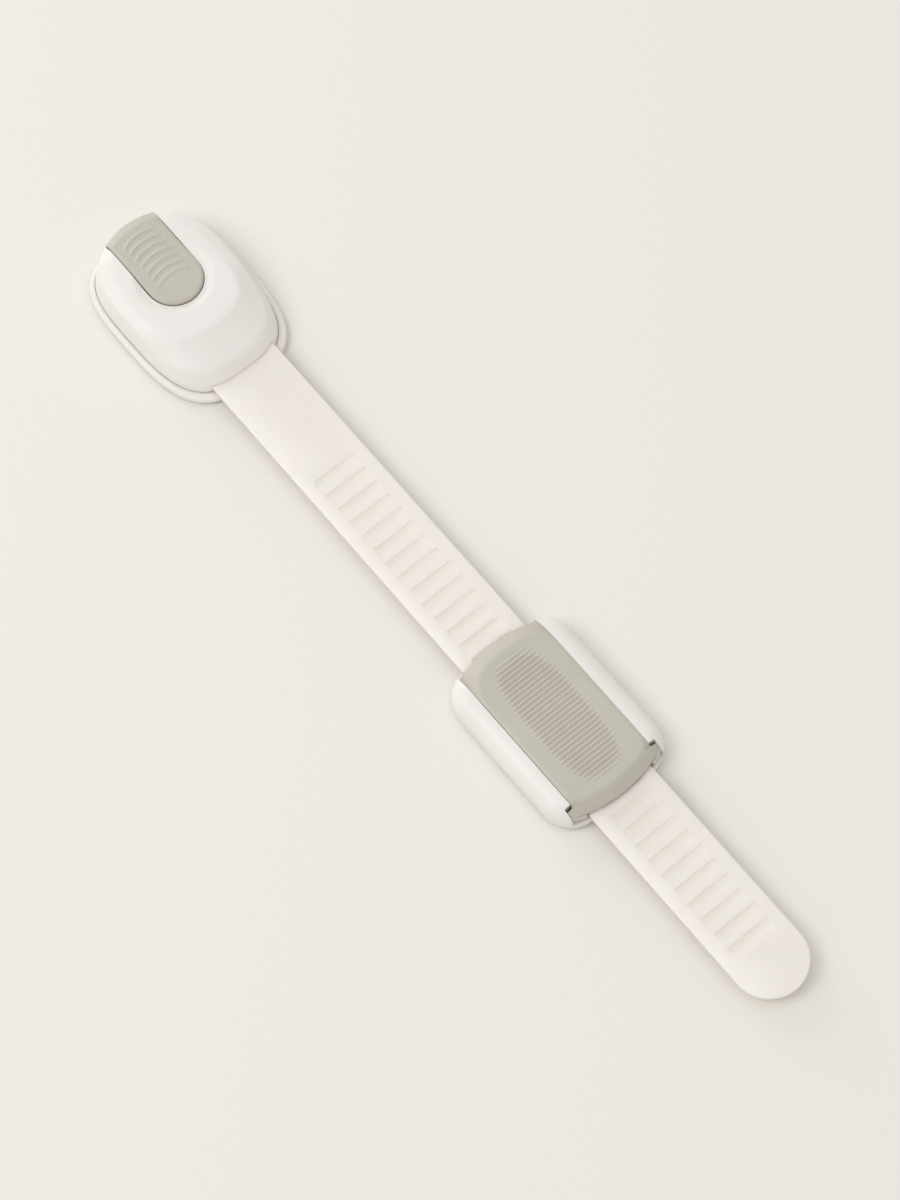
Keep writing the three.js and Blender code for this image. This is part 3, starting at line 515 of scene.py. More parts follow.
# %% [markdown]
# ## Head base plate
# The thin oval plate stays stuck to the furniture when the head comes off. It carries the keeper, a hook
# that the catch in the head bites under, and four short posts that stop the head from sliding. A shallow
# recess takes the cover's rim and leaves the thin shadow line that runs round it.

# %% Base plate, keeper and posts
BASE_BOTTOM, BASE_TOP = 0.85, 2.1
BASE_FRONT, BASE_BACK, BASE_HALF, HEAD_POWER, BASE_POINTS = 21.6, -22.75, 16.2, 3.2, 160
BASE_BREAK, BASE_ROUND, BASE_ROUND_STEPS = 0.2, 0.75, 8
COVER_FRONT, COVER_BACK, COVER_HALF = 19.7, -22.0, 14.8
RECESS_RINGS = [(0.16, 0), (0.06, 0.2), (-0.6, 0.2)]
KEEPER_SIDE = [(-1.2, 1.4), (0.2, 1.4), (0.2, 5.65), (-1.2, 5.65), (-2.6, 5.25), (-2.6, 4.9), (-1.2, 4.9)]
KEEPER_HALF, KEEPER_SOFT = 3.4, 0.12
POSTS = [(8, 10.05), (-15.5, 9.5)]
POST_BOTTOM, POST_TOP, POST_RADIUS, POST_SOFT = 1.3, 3.9, 0.7, 0.2


def base_outline(inset):
    return oval(BASE_FRONT - inset, BASE_BACK + inset, BASE_HALF - inset, HEAD_POWER, BASE_POINTS)


def recess_outline(margin):
    return oval(COVER_FRONT + margin, COVER_BACK - margin, COVER_HALF + margin, HEAD_POWER, BASE_POINTS)


base_plate = stack("head_plate", [
    (BASE_BOTTOM, base_outline(BASE_BREAK)),
    (BASE_BOTTOM + BASE_BREAK, base_outline(0)),
    *[
        (BASE_TOP - drop, base_outline(inset))
        for inset, drop in round_over(BASE_ROUND, BASE_ROUND, BASE_ROUND_STEPS)
    ],
    *[(BASE_TOP - drop, recess_outline(margin)) for margin, drop in RECESS_RINGS],
])
keeper = side_form("keeper", KEEPER_SIDE, KEEPER_HALF)
modify(keeper, "BEVEL", width=KEEPER_SOFT, segments=SOFT_STEPS, limit_method="ANGLE")
join(base_plate, keeper)
for post_x, post_y in POSTS:
    join(base_plate, *both_sides(
        lambda side: rod(post_x, side * post_y, POST_BOTTOM, POST_TOP, POST_RADIUS, POST_SOFT)
    ))
close_up(base_plate)
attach(base_plate, "head_base")
dress(base_plate, white_plastic, "white_plastic", "head_base_plate")

# %% [markdown]
# ## Head cover
# The white cover is a dome with a nearly flat crown, a long slope towards the strap and narrow bevels at
# the sides, whose lower edge climbs from the front to the back. Its edges are soft, as moulded plastic is.
# A few rings under a Subdivision Surface give that softness; a bevel would make every edge equally tight.
# The bottom ring is creased, because it is the one crisp edge.

# %% Cover: the dome
RIM_Z, CROWN_Z = 2.5, 9.8
SLOPE_FRONT_X, SLOPE_BACK_X = 9.0, -2.0
COVER_POINTS, COVER_LEVELS = 64, 3


def ease(share):
    """A share from 0 to 1 that starts and ends gently."""
    share = min(1, max(0, share))
    return share * share * (3 - 2 * share)


def cover_ring(z, front, side, back, power, wall=0, lift=0):
    """A ring of the dome: its height, how far in it lies at the front, sides and back, how blunt it is, and
    how much higher it climbs along the sides and back than at the front."""
    outline = oval(
        COVER_FRONT - front - wall, COVER_BACK + back + wall, COVER_HALF - side - wall, power, COVER_POINTS,
    )
    return z, [(x, y, lift * ease((SLOPE_FRONT_X - x) / (SLOPE_FRONT_X - SLOPE_BACK_X))) for x, y in outline]


cover = stack("head_cover", [
    cover_ring(RIM_Z, 0, 0, 0, 3.2),
    cover_ring(RIM_Z + 0.5, 0.05, 0.03, 0.02, 3.2),
    cover_ring(RIM_Z + 1.3, 0.15, 0.1, 0.07, 3.15, lift=0.2),
    cover_ring(RIM_Z + 2.0, 0.6, 0.25, 0.15, 3.1, lift=0.6),
    cover_ring(RIM_Z + 3.6, 2.1, 0.75, 0.45, 3.0, lift=1.55),
    cover_ring(RIM_Z + 4.1, 2.75, 1.0, 0.6, 2.95, lift=1.8),
    cover_ring(RIM_Z + 4.45, 3.7, 1.4, 0.9, 2.9, lift=1.65),
    cover_ring(RIM_Z + 5.4, 6.3, 2.3, 1.4, 2.85, lift=1.1),
    cover_ring(RIM_Z + 6.45, 9.1, 3.15, 1.85, 2.75, lift=0.4),
    cover_ring(CROWN_Z - 0.5, 9.9, 3.45, 2.1, 2.75, lift=0.15),
    cover_ring(CROWN_Z - 0.2, 10.55, 3.95, 2.6, 2.75, lift=0.05),
    cover_ring(CROWN_Z - 0.06, 12.8, 5.9, 4.6, 2.75),
    cover_ring(CROWN_Z, 14.6, 7.7, 6.6, 2.75),
    cover_ring(CROWN_Z, 16.6, 10.0, 11.0, 2.5),
])
edit(True)
pick(cover, "EDGE", lambda e: all(v.co.z < RIM_Z + NEARLY for v in e.verts))
bpy.ops.transform.edge_crease(value=1)
edit(False)
modify(cover, "SUBSURF", levels=COVER_LEVELS, render_levels=COVER_LEVELS)
print("dome:", len(cover.data.polygons), "faces")

# %% [markdown]
# A shallow hollow runs round the grip's round end, where a fingertip presses. It is dished into the dome
# before the window is cut, so that the window's edge follows it.

# %% Cover: the fingertip hollow
GRIP_ROUND_X, GRIP_HALF = -5.1, 6.4
WINDOW_HALF, WINDOW_FAR_HALF, WINDOW_END_HALF = 6.7, 6.5, 6.45
DISH_WIDTH, DISH_DEPTH, CROWN_BAND = 2.3, 0.55, 1.2


def dished(co):
    reach = math.hypot(co.x - GRIP_ROUND_X, co.y)
    return Vector((co.x, co.y, co.z - DISH_DEPTH * ease(1 - (reach - WINDOW_HALF) / DISH_WIDTH)))


edit(True)
pick(cover, "VERT", lambda v: v.co.z > CROWN_Z - CROWN_BAND)
lay(cover, dished)
edit(False)
print("fingertip hollow:", DISH_DEPTH, "mm deep")

# %% [markdown]
# The inside is hollow, the grip's window is cut through the top, a notch in the back edge takes the grip's
# far end, and the strap leaves through a slot at the front. The window leaves a wider gap at its round end
# and on its near side than on its far side, as the photograph shows.

# %% Cover: hollow, window, notch and slot
WALL = 1.3
BEHIND_X, AHEAD_X, ABOVE_Z = -30, 30, 12
WINDOW_BOTTOM = 7.7
NOTCH_X, NOTCH_BOTTOM = -19.0, 5.1
SLOT_X, SLOT_HALF, SLOT_TOP = 10, 8.3, 4.15

hollow = stack("hollow", [
    cover_ring(RIM_Z - 1, 0, 0, 0, 3.2, WALL),
    cover_ring(RIM_Z + 1.4, 0.25, 0.15, 0.1, 3.2, WALL),
    cover_ring(RIM_Z + 3.9, 2.7, 1.0, 0.6, 2.95, WALL),
    cover_ring(CROWN_Z - 1.9, 9.6, 3.4, 2.0, 2.75, WALL),
])
window = rod(GRIP_ROUND_X, 0, WINDOW_BOTTOM, ABOVE_Z, WINDOW_HALF)
edit(True)
pick(window, "VERT", lambda v: v.co.y > 0)
lay(window, lambda co: Vector((co.x, co.y * WINDOW_FAR_HALF / WINDOW_HALF, co.z)))
pick(window, "VERT", lambda v: v.co.x < GRIP_ROUND_X - NEARLY)
lay(window, lambda co: Vector((BEHIND_X, WINDOW_FAR_HALF if co.y > 0 else -WINDOW_END_HALF, co.z)))
edit(False)
notch = bar(BEHIND_X, NOTCH_X, -WINDOW_FAR_HALF, WINDOW_FAR_HALF, NOTCH_BOTTOM, ABOVE_Z)
slot = bar(SLOT_X, AHEAD_X, -SLOT_HALF, SLOT_HALF, 0, SLOT_TOP)
cut(cover, hollow, window, notch, slot)
close_up(cover, angle=40)
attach(cover, "head")
dress(cover, white_plastic, "white_plastic", "head_shell")

# %% [markdown]
# ## Release grip
# The grey grip is a U-shaped tile that slides back along the head. Seven curved ridges stop the thumb from
# slipping. The top starts as a flat grid whose rows are laid between the bowed far edge and the round end.
# Its rim is rolled over and its ridges are raised by moving the grid's points, which keeps one clean mesh
# of quads.

# %% Grip: the rolled top
GRIP_TOP, GRIP_BOTTOM = 10.05, 8.0
GRIP_FAR_X, GRIP_FAR_BOW = -22.1, 1.3
GRIP_COLUMNS, GRIP_ROWS = 180, 64
COLUMN_CROWD = 0.06
RIM_INSET, RIM_DROP = 0.9, 0.55
FAR_BAND, FAR_STEEPNESS, FAR_SOFT = 2.2, 0.45, 0.4
FAR_INSET, FAR_DROP = 0.5, 1.2


def roll(distance, inset, drop):
    """How far a rolled edge lies below the top, at a distance from the edge."""
    if distance >= inset:
        return 0
    share = 1 - max(0, distance) / inset
    return drop * (1 - math.sqrt(max(0, 1 - share * share)))


def slope(beyond, steepness, soft):
    """How far a flat bevel lies below the top, at a distance beyond its soft upper edge."""
    return steepness * (math.hypot(beyond, soft) - soft) if beyond > 0 else 0


def grip_place(co):
    across = math.sin(co.y * math.pi / 2)
    y = GRIP_HALF * across
    far = GRIP_FAR_X + GRIP_FAR_BOW * across * across
    near = GRIP_ROUND_X + math.sqrt(max(0, GRIP_HALF ** 2 - y * y))
    along = (co.x + 1) / 2
    along -= COLUMN_CROWD * math.sin(math.tau * along)
    x = far + (near - far) * along
    edge = GRIP_HALF - (math.hypot(x - GRIP_ROUND_X, y) if x > GRIP_ROUND_X else abs(y))
    drop = max(
        roll(edge, RIM_INSET, RIM_DROP),
        slope(FAR_BAND - (x - far), FAR_STEEPNESS, FAR_SOFT),
        roll(x - far, FAR_INSET, FAR_DROP),
    )
    return Vector((x, y, GRIP_TOP - drop + ridge(x, y)))


# %% [markdown]
# Each ridge is a low round wave, bowed like the far edge, and fades at its ends. The sheet then gets a wall
# and a floor, so that it is a closed body.

# %% Grip: the seven ridges
RIDGES, RIDGE_PITCH, RIDGE_FIRST_X, RIDGE_BOW, RIDGE_HALF = 7, 1.98, -18.05, 9.0, 4.3
RIDGE_HEIGHT, RIDGE_WIDTH, RIDGE_FADE = 0.24, 1.3, 0.9


def ridge(x, y):
    if abs(y) >= RIDGE_HALF:
        return 0
    bow = RIDGE_BOW - math.sqrt(RIDGE_BOW ** 2 - y * y)
    step = (x - RIDGE_FIRST_X - bow) / RIDGE_PITCH
    number = round(step)
    along = (step - number) * RIDGE_PITCH / RIDGE_WIDTH
    if not 0 <= number < RIDGES or abs(along) > 0.5:
        return 0
    ends = min(1, (RIDGE_HALF - abs(y)) / RIDGE_FADE)
    return RIDGE_HEIGHT * (0.5 + 0.5 * math.cos(math.tau * along)) * math.sqrt(ends)


def formed_sheet(name, columns, rows, where, bottom):
    """A flat grid laid on a form, with a wall drawn down from its rim and closed by a floor."""
    piece = place(
        bpy.ops.mesh.primitive_grid_add, name, x_subdivisions=columns, y_subdivisions=rows, size=2,
    )
    edit(True)
    lay(piece, where)
    pick(piece, "EDGE", lambda e: e.is_boundary)
    bpy.ops.mesh.extrude_region_move()
    lay(piece, lambda co: Vector((co.x, co.y, bottom)))
    bpy.ops.mesh.edge_face_add()
    turn_outwards()
    edit(False)
    print(name, "sheet:", len(piece.data.polygons), "faces")
    return piece


grip = formed_sheet("release_grip", GRIP_COLUMNS, GRIP_ROWS, grip_place, GRIP_BOTTOM)

# %% [markdown]
# The far end turns down over the back of the cover, so that the thumb finds an edge. Below, two feet hold
# the grip under the window's edges, and a leg carries the catch and the spring's push.

# %% Grip: the far end, feet and leg
TURN_BOTTOM, TURN_TOP, TURN_INNER_X, TURN_LEAN, TURN_CUTS = 5.4, 9.0, -19.3, 0.2, 15
FOOT_START, FOOT_END, FOOT_INNER, FOOT_OUTER, SHANK_OUTER = -12, -4, 4.6, 8.1, 6.1
FOOT_BOTTOM, FOOT_TOP, IN_THE_GRIP_Z = 6.7, 7.6, 8.2
LEG_START, LEG_END, LEG_HALF, LEG_BOTTOM = -7.6, -5.6, 2.4, 5.1


def far_wall(co):
    bow = GRIP_FAR_BOW * (co.y / GRIP_HALF) ** 2
    lean = TURN_LEAN * (TURN_TOP - co.z) / (TURN_TOP - TURN_BOTTOM)
    return Vector((GRIP_FAR_X + lean + bow if co.x < 0 else TURN_INNER_X, co.y, co.z))


def foot(side):
    return side_bar(side, FOOT_START, FOOT_END, FOOT_INNER, FOOT_OUTER, FOOT_BOTTOM, FOOT_TOP)


def shank(side):
    return side_bar(side, FOOT_START, FOOT_END, FOOT_INNER, SHANK_OUTER, FOOT_BOTTOM, IN_THE_GRIP_Z)


turn_down = bar(-1, 1, -GRIP_HALF, GRIP_HALF, TURN_BOTTOM, TURN_TOP)
edit(True)
bpy.ops.mesh.select_all(action="SELECT")
bpy.ops.mesh.subdivide(number_cuts=TURN_CUTS)
pick_points(turn_down)
lay(turn_down, far_wall)
edit(False)
join(grip, turn_down)
join(grip, *both_sides(foot))
join(grip, *both_sides(shank))
join(grip, bar(LEG_START, LEG_END, -LEG_HALF, LEG_HALF, LEG_BOTTOM, IN_THE_GRIP_Z))
close_up(grip)
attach(grip, "release")
dress(grip, grey_plastic, "grey_plastic", "release_slide")

# %% [markdown]
# ## Return spring
# A coil spring pushes the grip shut.

# %% Return spring
SPRING_START, SPRING_LENGTH, SPRING_Z = -15.6, 7.6, 6.0
SPRING_RADIUS, SPRING_WIRE, SPRING_TURNS = 1.4, 0.25, 6
SPRING_STEPS, WIRE_SIDES = 28, 12

coil = place(bpy.ops.mesh.primitive_circle_add, "return_coil", vertices=WIRE_SIDES, radius=SPRING_WIRE)
edit(True)
pick_points(coil)
lay(coil, lambda co: Vector((co.x, co.y + SPRING_RADIUS, 0)))
edit(False)
modify(
    coil, "SCREW", axis="X", angle=math.tau, screw_offset=SPRING_LENGTH / SPRING_TURNS,
    iterations=SPRING_TURNS, steps=SPRING_STEPS, render_steps=SPRING_STEPS,
)
edit(True)
pick_points(coil)
bpy.ops.mesh.fill_holes(sides=WIRE_SIDES)
lay(coil, lambda co: Vector((co.x + SPRING_START, co.y, co.z + SPRING_Z)))
edit(False)
close_up(coil, angle=60)
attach(coil, "head")
dress(coil, steel, "spring_steel", "return_spring")
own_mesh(coil)
spring_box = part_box("return_spring")
print("spring in the CAD model:", [tuple(round(v / MM, 2) for v in corner) for corner in spring_box])

# %% [markdown]
# ## Strap
# The strap is one flexible moulding, 16.5 mm wide and 1.2 mm thick. Its end is a half circle: a block whose
# two upright end edges are bevelled by half the width. Where it bends it needs many cross rows, so it is
# bisected there.

# %% Strap: the band
STRAP_START, STRAP_TIP, STRAP_HALF = 5.2, 196.3, 8.25
STRAP_BOTTOM, STRAP_TOP = 2.9, 4.1
TIP_STEPS, TIP_FLAT = 28, 0.001
BEND_FIRST_X, BEND_STEP, BEND_ROWS = 25, 0.6, 31


def upright_at_tip(edge):
    start, end = (v.co for v in edge.verts)
    return min(start.x, end.x) > STRAP_TIP - NEARLY and abs(start.z - end.z) > NEARLY


strap = bar(STRAP_START, STRAP_TIP, -STRAP_HALF, STRAP_HALF, STRAP_BOTTOM, STRAP_TOP)
strap.name = "strap_band"
edit(True)
pick(strap, "EDGE", upright_at_tip)
bpy.ops.mesh.bevel(offset=STRAP_HALF - TIP_FLAT, segments=TIP_STEPS, affect="EDGES", clamp_overlap=False)
for i in range(BEND_ROWS):
    bpy.ops.mesh.select_all(action="SELECT")
    bpy.ops.mesh.bisect(plane_co=(BEND_FIRST_X + BEND_STEP * i, 0, 0), plane_no=(1, 0, 0), threshold=0.0001)
edit(False)
print("strap band:", len(strap.data.polygons), "faces")

# %% [markdown]
# The pockets are cut by one saw-tooth, drawn from the side and repeated with an Array modifier: an upright
# wall that the pawl's tooth pulls against, a flat floor, a short step, and a low ramp that rises to the
# next crest. They are shallower than in the solid, because the milky plastic of the real strap hides their
# depth.

# %% Strap: the saw-tooth pockets
POCKETS, PITCH, FIRST_POCKET, POCKET_HALF = 34, 4.0, 49.4, 5.3
TOOTH_SIDE = [(0, 4.6), (0, 3.96), (1.4, 3.96), (1.7, 4.07), (3.75, 4.1), (3.75, 4.6)]
PEG_X, PEG_Y, PEG_HOLE, HOLE_FROM_Z, HOLE_TO_Z = 10, 4.4, 1.8, 2, 6
STRAP_SOFT = 0.12

tooth = side_form("tooth", [(FIRST_POCKET + x, z) for x, z in TOOTH_SIDE], POCKET_HALF)
modify(
    tooth, "ARRAY", count=POCKETS, use_relative_offset=False, use_constant_offset=True,
    constant_offset_displace=(PITCH, 0, 0),
)
cut(strap, tooth)
cut(strap, *both_sides(lambda side: rod(PEG_X, side * PEG_Y, HOLE_FROM_Z, HOLE_TO_Z, PEG_HOLE)))
modify(
    strap, "BEVEL", width=STRAP_SOFT, segments=SOFT_STEPS, limit_method="ANGLE", angle_limit=math.radians(35),
)
close_up(strap)

# %% [markdown]
# Each point now gets its thinness, 1 on the pockets' floors and 0 on the crests, as the mask of the painted
# pocket shade. It is written while the strap is straight and height still tells the two apart.

# %% Strap: the mask of the painted pocket shade
THIN_Z, FULL_Z = 3.99, 4.07

pocket_shade_mask = strap.data.attributes.new("pocket_shade_mask", "FLOAT", "POINT")
for vertex, mark in zip(strap.data.vertices, pocket_shade_mask.data):
    mark.value = min(1, max(0, (FULL_Z - vertex.co.z / MM) / (FULL_Z - THIN_Z)))
print("thin points:", sum(mark.value > 0.5 for mark in pocket_shade_mask.data), "of", len(pocket_shade_mask.data))
dress(strap, frosted, "strap", "strap_root", "strap_flex", "strap_rack")
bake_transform(strap)

# %% [markdown]
# ## Adjuster: plate and body
# The second housing is a plate with a white body on it. Two screws go up through the plate into the body,
# and the pad below hides their heads.

# %% Adjuster plate
PLATE_TOP = 1.85
PLATE_EDGE = [(0, 0.4), (0.15, 0.12), (0.4, 0)]
SCREW_Y, SCREW_HOLE, SCREW_END = 12.6, 0.88, 5.4
SCREW_HEAD_HOLE, SCREW_HEAD_END = 1.7, 1.6


def screw_holes(radius, top):
    return both_sides(lambda side: rod(ADJUSTER_MIDDLE, side * SCREW_Y, 0, top, radius))


adjuster_plate = stack("adjuster_plate", [
    *[(BASE_BOTTOM + z, rounded_rectangle(inset)) for z, inset in PLATE_EDGE],
    (PLATE_TOP, rounded_rectangle(0)),
])
cut(adjuster_plate, *screw_holes(SCREW_HEAD_HOLE, SCREW_HEAD_END))
cut(adjuster_plate, *screw_holes(SCREW_HOLE, SCREW_END))
close_up(adjuster_plate)
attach(adjuster_plate, "adjuster")
dress(adjuster_plate, white_plastic, "white_plastic", "adjuster_base_plate")

# %% [markdown]
# The body's outer edge rolls over in a generous curve. A channel for the strap and the lock slide runs
# through it and leaves a rail on each side; in front of the rails' ends only the low floor goes on.

# %% Adjuster body: the rolled block and its channel
BODY_BOTTOM, FLOOR_TOP, RAIL_TOP = 1.9, 2.75, 6.8
BODY_BREAK, BODY_BREAK_INSET = 0.15, 0.12
BODY_ROUND_IN, BODY_ROUND_DOWN, BODY_ROUND_STEPS = 4.0, 3.4, 14
RAIL_END, CHANNEL_HALF, EAR_ROOM = 139.0, 10.45, 11.98
BEFORE_X, BEYOND_X, OVER_Z = 100, 146, 9

body = stack("adjuster_housing", [
    (BODY_BOTTOM, rounded_rectangle(BODY_BREAK_INSET)),
    (BODY_BOTTOM + BODY_BREAK, rounded_rectangle(0)),
    *[
        (RAIL_TOP - drop, rounded_rectangle(inset))
        for inset, drop in round_over(BODY_ROUND_IN, BODY_ROUND_DOWN, BODY_ROUND_STEPS)
    ],
])
cut(
    body,
    bar(BEFORE_X, BEYOND_X, -CHANNEL_HALF, CHANNEL_HALF, FLOOR_TOP, OVER_Z),
    bar(RAIL_END, BEYOND_X, -EAR_ROOM, EAR_ROOM, FLOOR_TOP, OVER_Z),
)
print("body with channel:", len(body.data.polygons), "faces")

# %% [markdown]
# In the channel, two low ribs guide the strap and two posts hold the pawl's pin. A groove in each rail
# takes the slide's tongue. All of it starts inside the floor, so that the pieces grow together.

# %% Adjuster body: guides, posts, grooves and holes
IN_THE_FLOOR_Z = 2.55
GUIDE_START, GUIDE_INNER, GUIDE_OUTER, GUIDE_TOP, GUIDE_SOFT = 105.2, 8.55, 9.1, 4.0, 0.1
PIN_POST_START, PIN_POST_END, PIN_POST_INNER, PIN_POST_OUTER, PIN_POST_TOP = 135.6, 138.4, 8.7, 10.65, 6.05
GROOVE_START, GROOVE_INNER, GROOVE_OUTER, GROOVE_BOTTOM, GROOVE_TOP = 107.0, 10.25, 11.35, 4.3, 5.5
PIVOT_X, PIVOT_Z, PIN_HOLE = 137.0, 5.3, 0.58
BODY_SOFT, BODY_SOFT_STEPS = 0.16, 3


def guide(side):
    return side_bar(
        side, GUIDE_START, RAIL_END, GUIDE_INNER, GUIDE_OUTER, IN_THE_FLOOR_Z, GUIDE_TOP, GUIDE_SOFT,
    )


def pin_post(side):
    return side_bar(
        side, PIN_POST_START, PIN_POST_END, PIN_POST_INNER, PIN_POST_OUTER, IN_THE_FLOOR_Z, PIN_POST_TOP,
    )


def groove(side):
    return side_bar(side, GROOVE_START, PIN_POST_START, GROOVE_INNER, GROOVE_OUTER, GROOVE_BOTTOM, GROOVE_TOP)


join(body, *both_sides(guide))
join(body, *both_sides(pin_post))
cut(body, *both_sides(groove))
cut(body, *screw_holes(SCREW_HOLE, SCREW_END))
pin_hole = rod(0, 0, -CHANNEL_HALF, CHANNEL_HALF, PIN_HOLE)
edit(True)
pick_points(pin_hole)
lay(pin_hole, lambda co: Vector((PIVOT_X + co.x, co.z, PIVOT_Z + co.y)))
edit(False)
cut(body, pin_hole)
modify(
    body, "BEVEL", width=BODY_SOFT, segments=BODY_SOFT_STEPS, limit_method="ANGLE",
    angle_limit=math.radians(40),
)
close_up(body)
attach(body, "adjuster")
dress(body, white_plastic, "white_plastic", "adjuster_body")

# %% [markdown]
# ## Lock slide
# The large grey slide fills the channel and is pushed towards the strap's tip to free the strap. Its lip
# and nose are bowed. Its bevelled rim is broad at both ends, narrow at the sides and round at the corners.

# %% Lock slide: the bevelled rim
LOCK_TOP, LOCK_BOTTOM = 7.2, 4.5
LIP_X, LIP_BOW, NOSE_X, NOSE_BOW = 101.7, 1.9, 143.4, 1.65
LIP_BAND, NOSE_BAND, SIDE_BAND = 3.5, 3.0, 0.9
LIP_CORNER, NOSE_CORNER = 4.5, 2.0
LIP_SLOPE, NOSE_SLOPE, BEVEL_SOFT = 0.72, 0.9, 1.0
END_INSET, END_DROP = 0.8, 2.3


def lock_drop(x, edge, lip, nose):
    """How far the rim lies below the top, at a place along the slide and a distance from its side edge."""
    share = (x - lip) / (nose - lip)
    corner = LIP_CORNER if share < 0.5 else NOSE_CORNER
    end = max(LIP_BAND - (x - lip), NOSE_BAND - (nose - x))
    beyond_x, beyond_y = max(0, corner + end), max(0, corner + SIDE_BAND - edge)
    steepness = LIP_SLOPE + (NOSE_SLOPE - LIP_SLOPE) * share
    bevel = slope(math.hypot(beyond_x, beyond_y) - corner, steepness, BEVEL_SOFT)
    return min(END_DROP, max(bevel, roll(min(x - lip, nose - x), END_INSET, END_DROP)))


# %% [markdown]
# The flat top has an oval field of fine ribs that fade out at their ends. As with the grip, one grid is
# laid on the form, and the ribs are real relief in it. They follow the grid's columns, so the columns stay
# straight under the field and bow only towards the lip and the nose. In front of the rails' ends the grid
# widens into two ears.

# %% Lock slide: ribs and sheet
RIB_PITCH, RIB_HEIGHT, RIB_FIRST_X = 1.0, 0.4, 107.2
FIELD_MIDDLE, FIELD_HALF, FIELD_SIDE, FIELD_FADE, FIELD_POWER = 122.7, 16.6, 6.6, 0.9, 3.5
LOCK_HALF, FAR_SHIFT = 10.33, 0.09
STRAIGHT_X, EAR_X, EAR_HALF = 106.0, 139.8, 11.9
LOCK_COLUMNS, LOCK_ROWS = 520, 64


def rib(x, y):
    along, across = abs((x - FIELD_MIDDLE) / FIELD_HALF), abs(y / FIELD_SIDE)
    reach = (along ** FIELD_POWER + across ** FIELD_POWER) ** (1 / FIELD_POWER)
    fade = min(1, max(0, (1 - reach) * FIELD_SIDE / FIELD_FADE))
    return RIB_HEIGHT / 2 * fade * math.cos(math.tau * (x - RIB_FIRST_X) / RIB_PITCH)


def lock_place(co):
    across = math.sin(co.y * math.pi / 2)
    x = LIP_X + (NOSE_X - LIP_X) * (co.x + 1) / 2
    between_rails = x < EAR_X
    half = LOCK_HALF if between_rails else EAR_HALF
    y = half * across
    lip = LIP_X + LIP_BOW * across * across
    nose = NOSE_X - NOSE_BOW * (y / LOCK_HALF) ** 2
    if x < STRAIGHT_X:
        x = STRAIGHT_X - (STRAIGHT_X - x) * (STRAIGHT_X - lip) / (STRAIGHT_X - LIP_X)
    elif x > EAR_X:
        x = EAR_X + (x - EAR_X) * (nose - EAR_X) / (NOSE_X - EAR_X)
    shift = FAR_SHIFT * max(0, across) if between_rails else 0
    return Vector((x, y + shift, LOCK_TOP - lock_drop(x, half - abs(y), lip, nose) + rib(x, y)))


lock = formed_sheet("lock_grip", LOCK_COLUMNS, LOCK_ROWS, lock_place, LOCK_BOTTOM)

# %% [markdown]
# Underneath, the slide is hollow over the pawl, gives way round the pawl's posts, and runs in the rails'
# grooves on two tongues. The ears go down in front of the rails' ends and follow the body's round corners
# there, so their lower parts are cut out of the same rounded rectangle.

# %% Lock slide: hollow, ears and tongues
UNDER_Z = 4
HOLLOW_START, HOLLOW_END, HOLLOW_HALF, HOLLOW_TOP = 107.0, 139.2, 9.05, 6.35
LIP_HOLLOW_START, LIP_HOLLOW_END, LIP_HOLLOW_HALF, LIP_HOLLOW_TOP = 105.2, 108.0, 6.6, 6.3
POST_ROOM_START, POST_ROOM_END, POST_ROOM_INNER, POST_ROOM_OUTER = 128.3, 138.7, 8.4, 12
EAR_RINGS = [(3.05, 0.7), (3.2, 0.55), (4.9, 0.55)]
EAR_START, EAR_INNER, EAR_FROM_Z, EAR_TO_Z = EAR_X + 0.05, 8.8, 2, 8
TONGUE_START, TONGUE_END, TONGUE_INNER, TONGUE_OUTER = 107.3, 120.3, 9.95, 11.05
TONGUE_BOTTOM, TONGUE_TOP = 4.6, 5.2


def post_room(side):
    return side_bar(
        side, POST_ROOM_START, POST_ROOM_END, POST_ROOM_INNER, POST_ROOM_OUTER, UNDER_Z, HOLLOW_TOP,
    )


def ear(side):
    piece = stack("ear", [(z, rounded_rectangle(inset)) for z, inset in EAR_RINGS])
    corner = side_bar(side, EAR_START, BEYOND_X, EAR_INNER, EAR_HALF, EAR_FROM_Z, EAR_TO_Z)
    combine(piece, corner, "INTERSECT")
    return piece


def tongue(side):
    return side_bar(side, TONGUE_START, TONGUE_END, TONGUE_INNER, TONGUE_OUTER, TONGUE_BOTTOM, TONGUE_TOP)


cut(
    lock,
    bar(HOLLOW_START, HOLLOW_END, -HOLLOW_HALF, HOLLOW_HALF, UNDER_Z, HOLLOW_TOP),
    bar(LIP_HOLLOW_START, LIP_HOLLOW_END, -LIP_HOLLOW_HALF, LIP_HOLLOW_HALF, UNDER_Z, LIP_HOLLOW_TOP),
)
cut(lock, *both_sides(post_room))
join(lock, *both_sides(ear))
join(lock, *both_sides(tongue))
print("slide with its underside:", len(lock.data.polygons), "faces")

# %% [markdown]
# Two cam plates have a slanted slot each, in which the pawl's pegs climb as the slide travels.

# %% Lock slide: cams
CAM_START, CAM_END, CAM_INNER, CAM_OUTER, CAM_BOTTOM, CAM_TOP = 109, 120, 6.8, 7.8, 4.25, 6.55
CAM_SLOT_SIDE = [(110.3, 5.2), (110.3, 6.2), (118.6, 5.35), (118.6, 4.35)]
CAM_SLOT_HALF = 10


def cam(side):
    plate = side_bar(side, CAM_START, CAM_END, CAM_INNER, CAM_OUTER, CAM_BOTTOM, CAM_TOP)
    cut(plate, side_form("cam_slot", CAM_SLOT_SIDE, CAM_SLOT_HALF))
    return plate


join(lock, *both_sides(cam))
close_up(lock)
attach(lock, "lock")
dress(lock, grey_plastic, "grey_plastic", "lock_slide")

# %% [markdown]
# ## Adhesive pads
# Each housing stands on a pad of foam tape, which bulges slightly at its cut edge under the pressure of the
# hand that pressed it on. A few rings give that bulge.

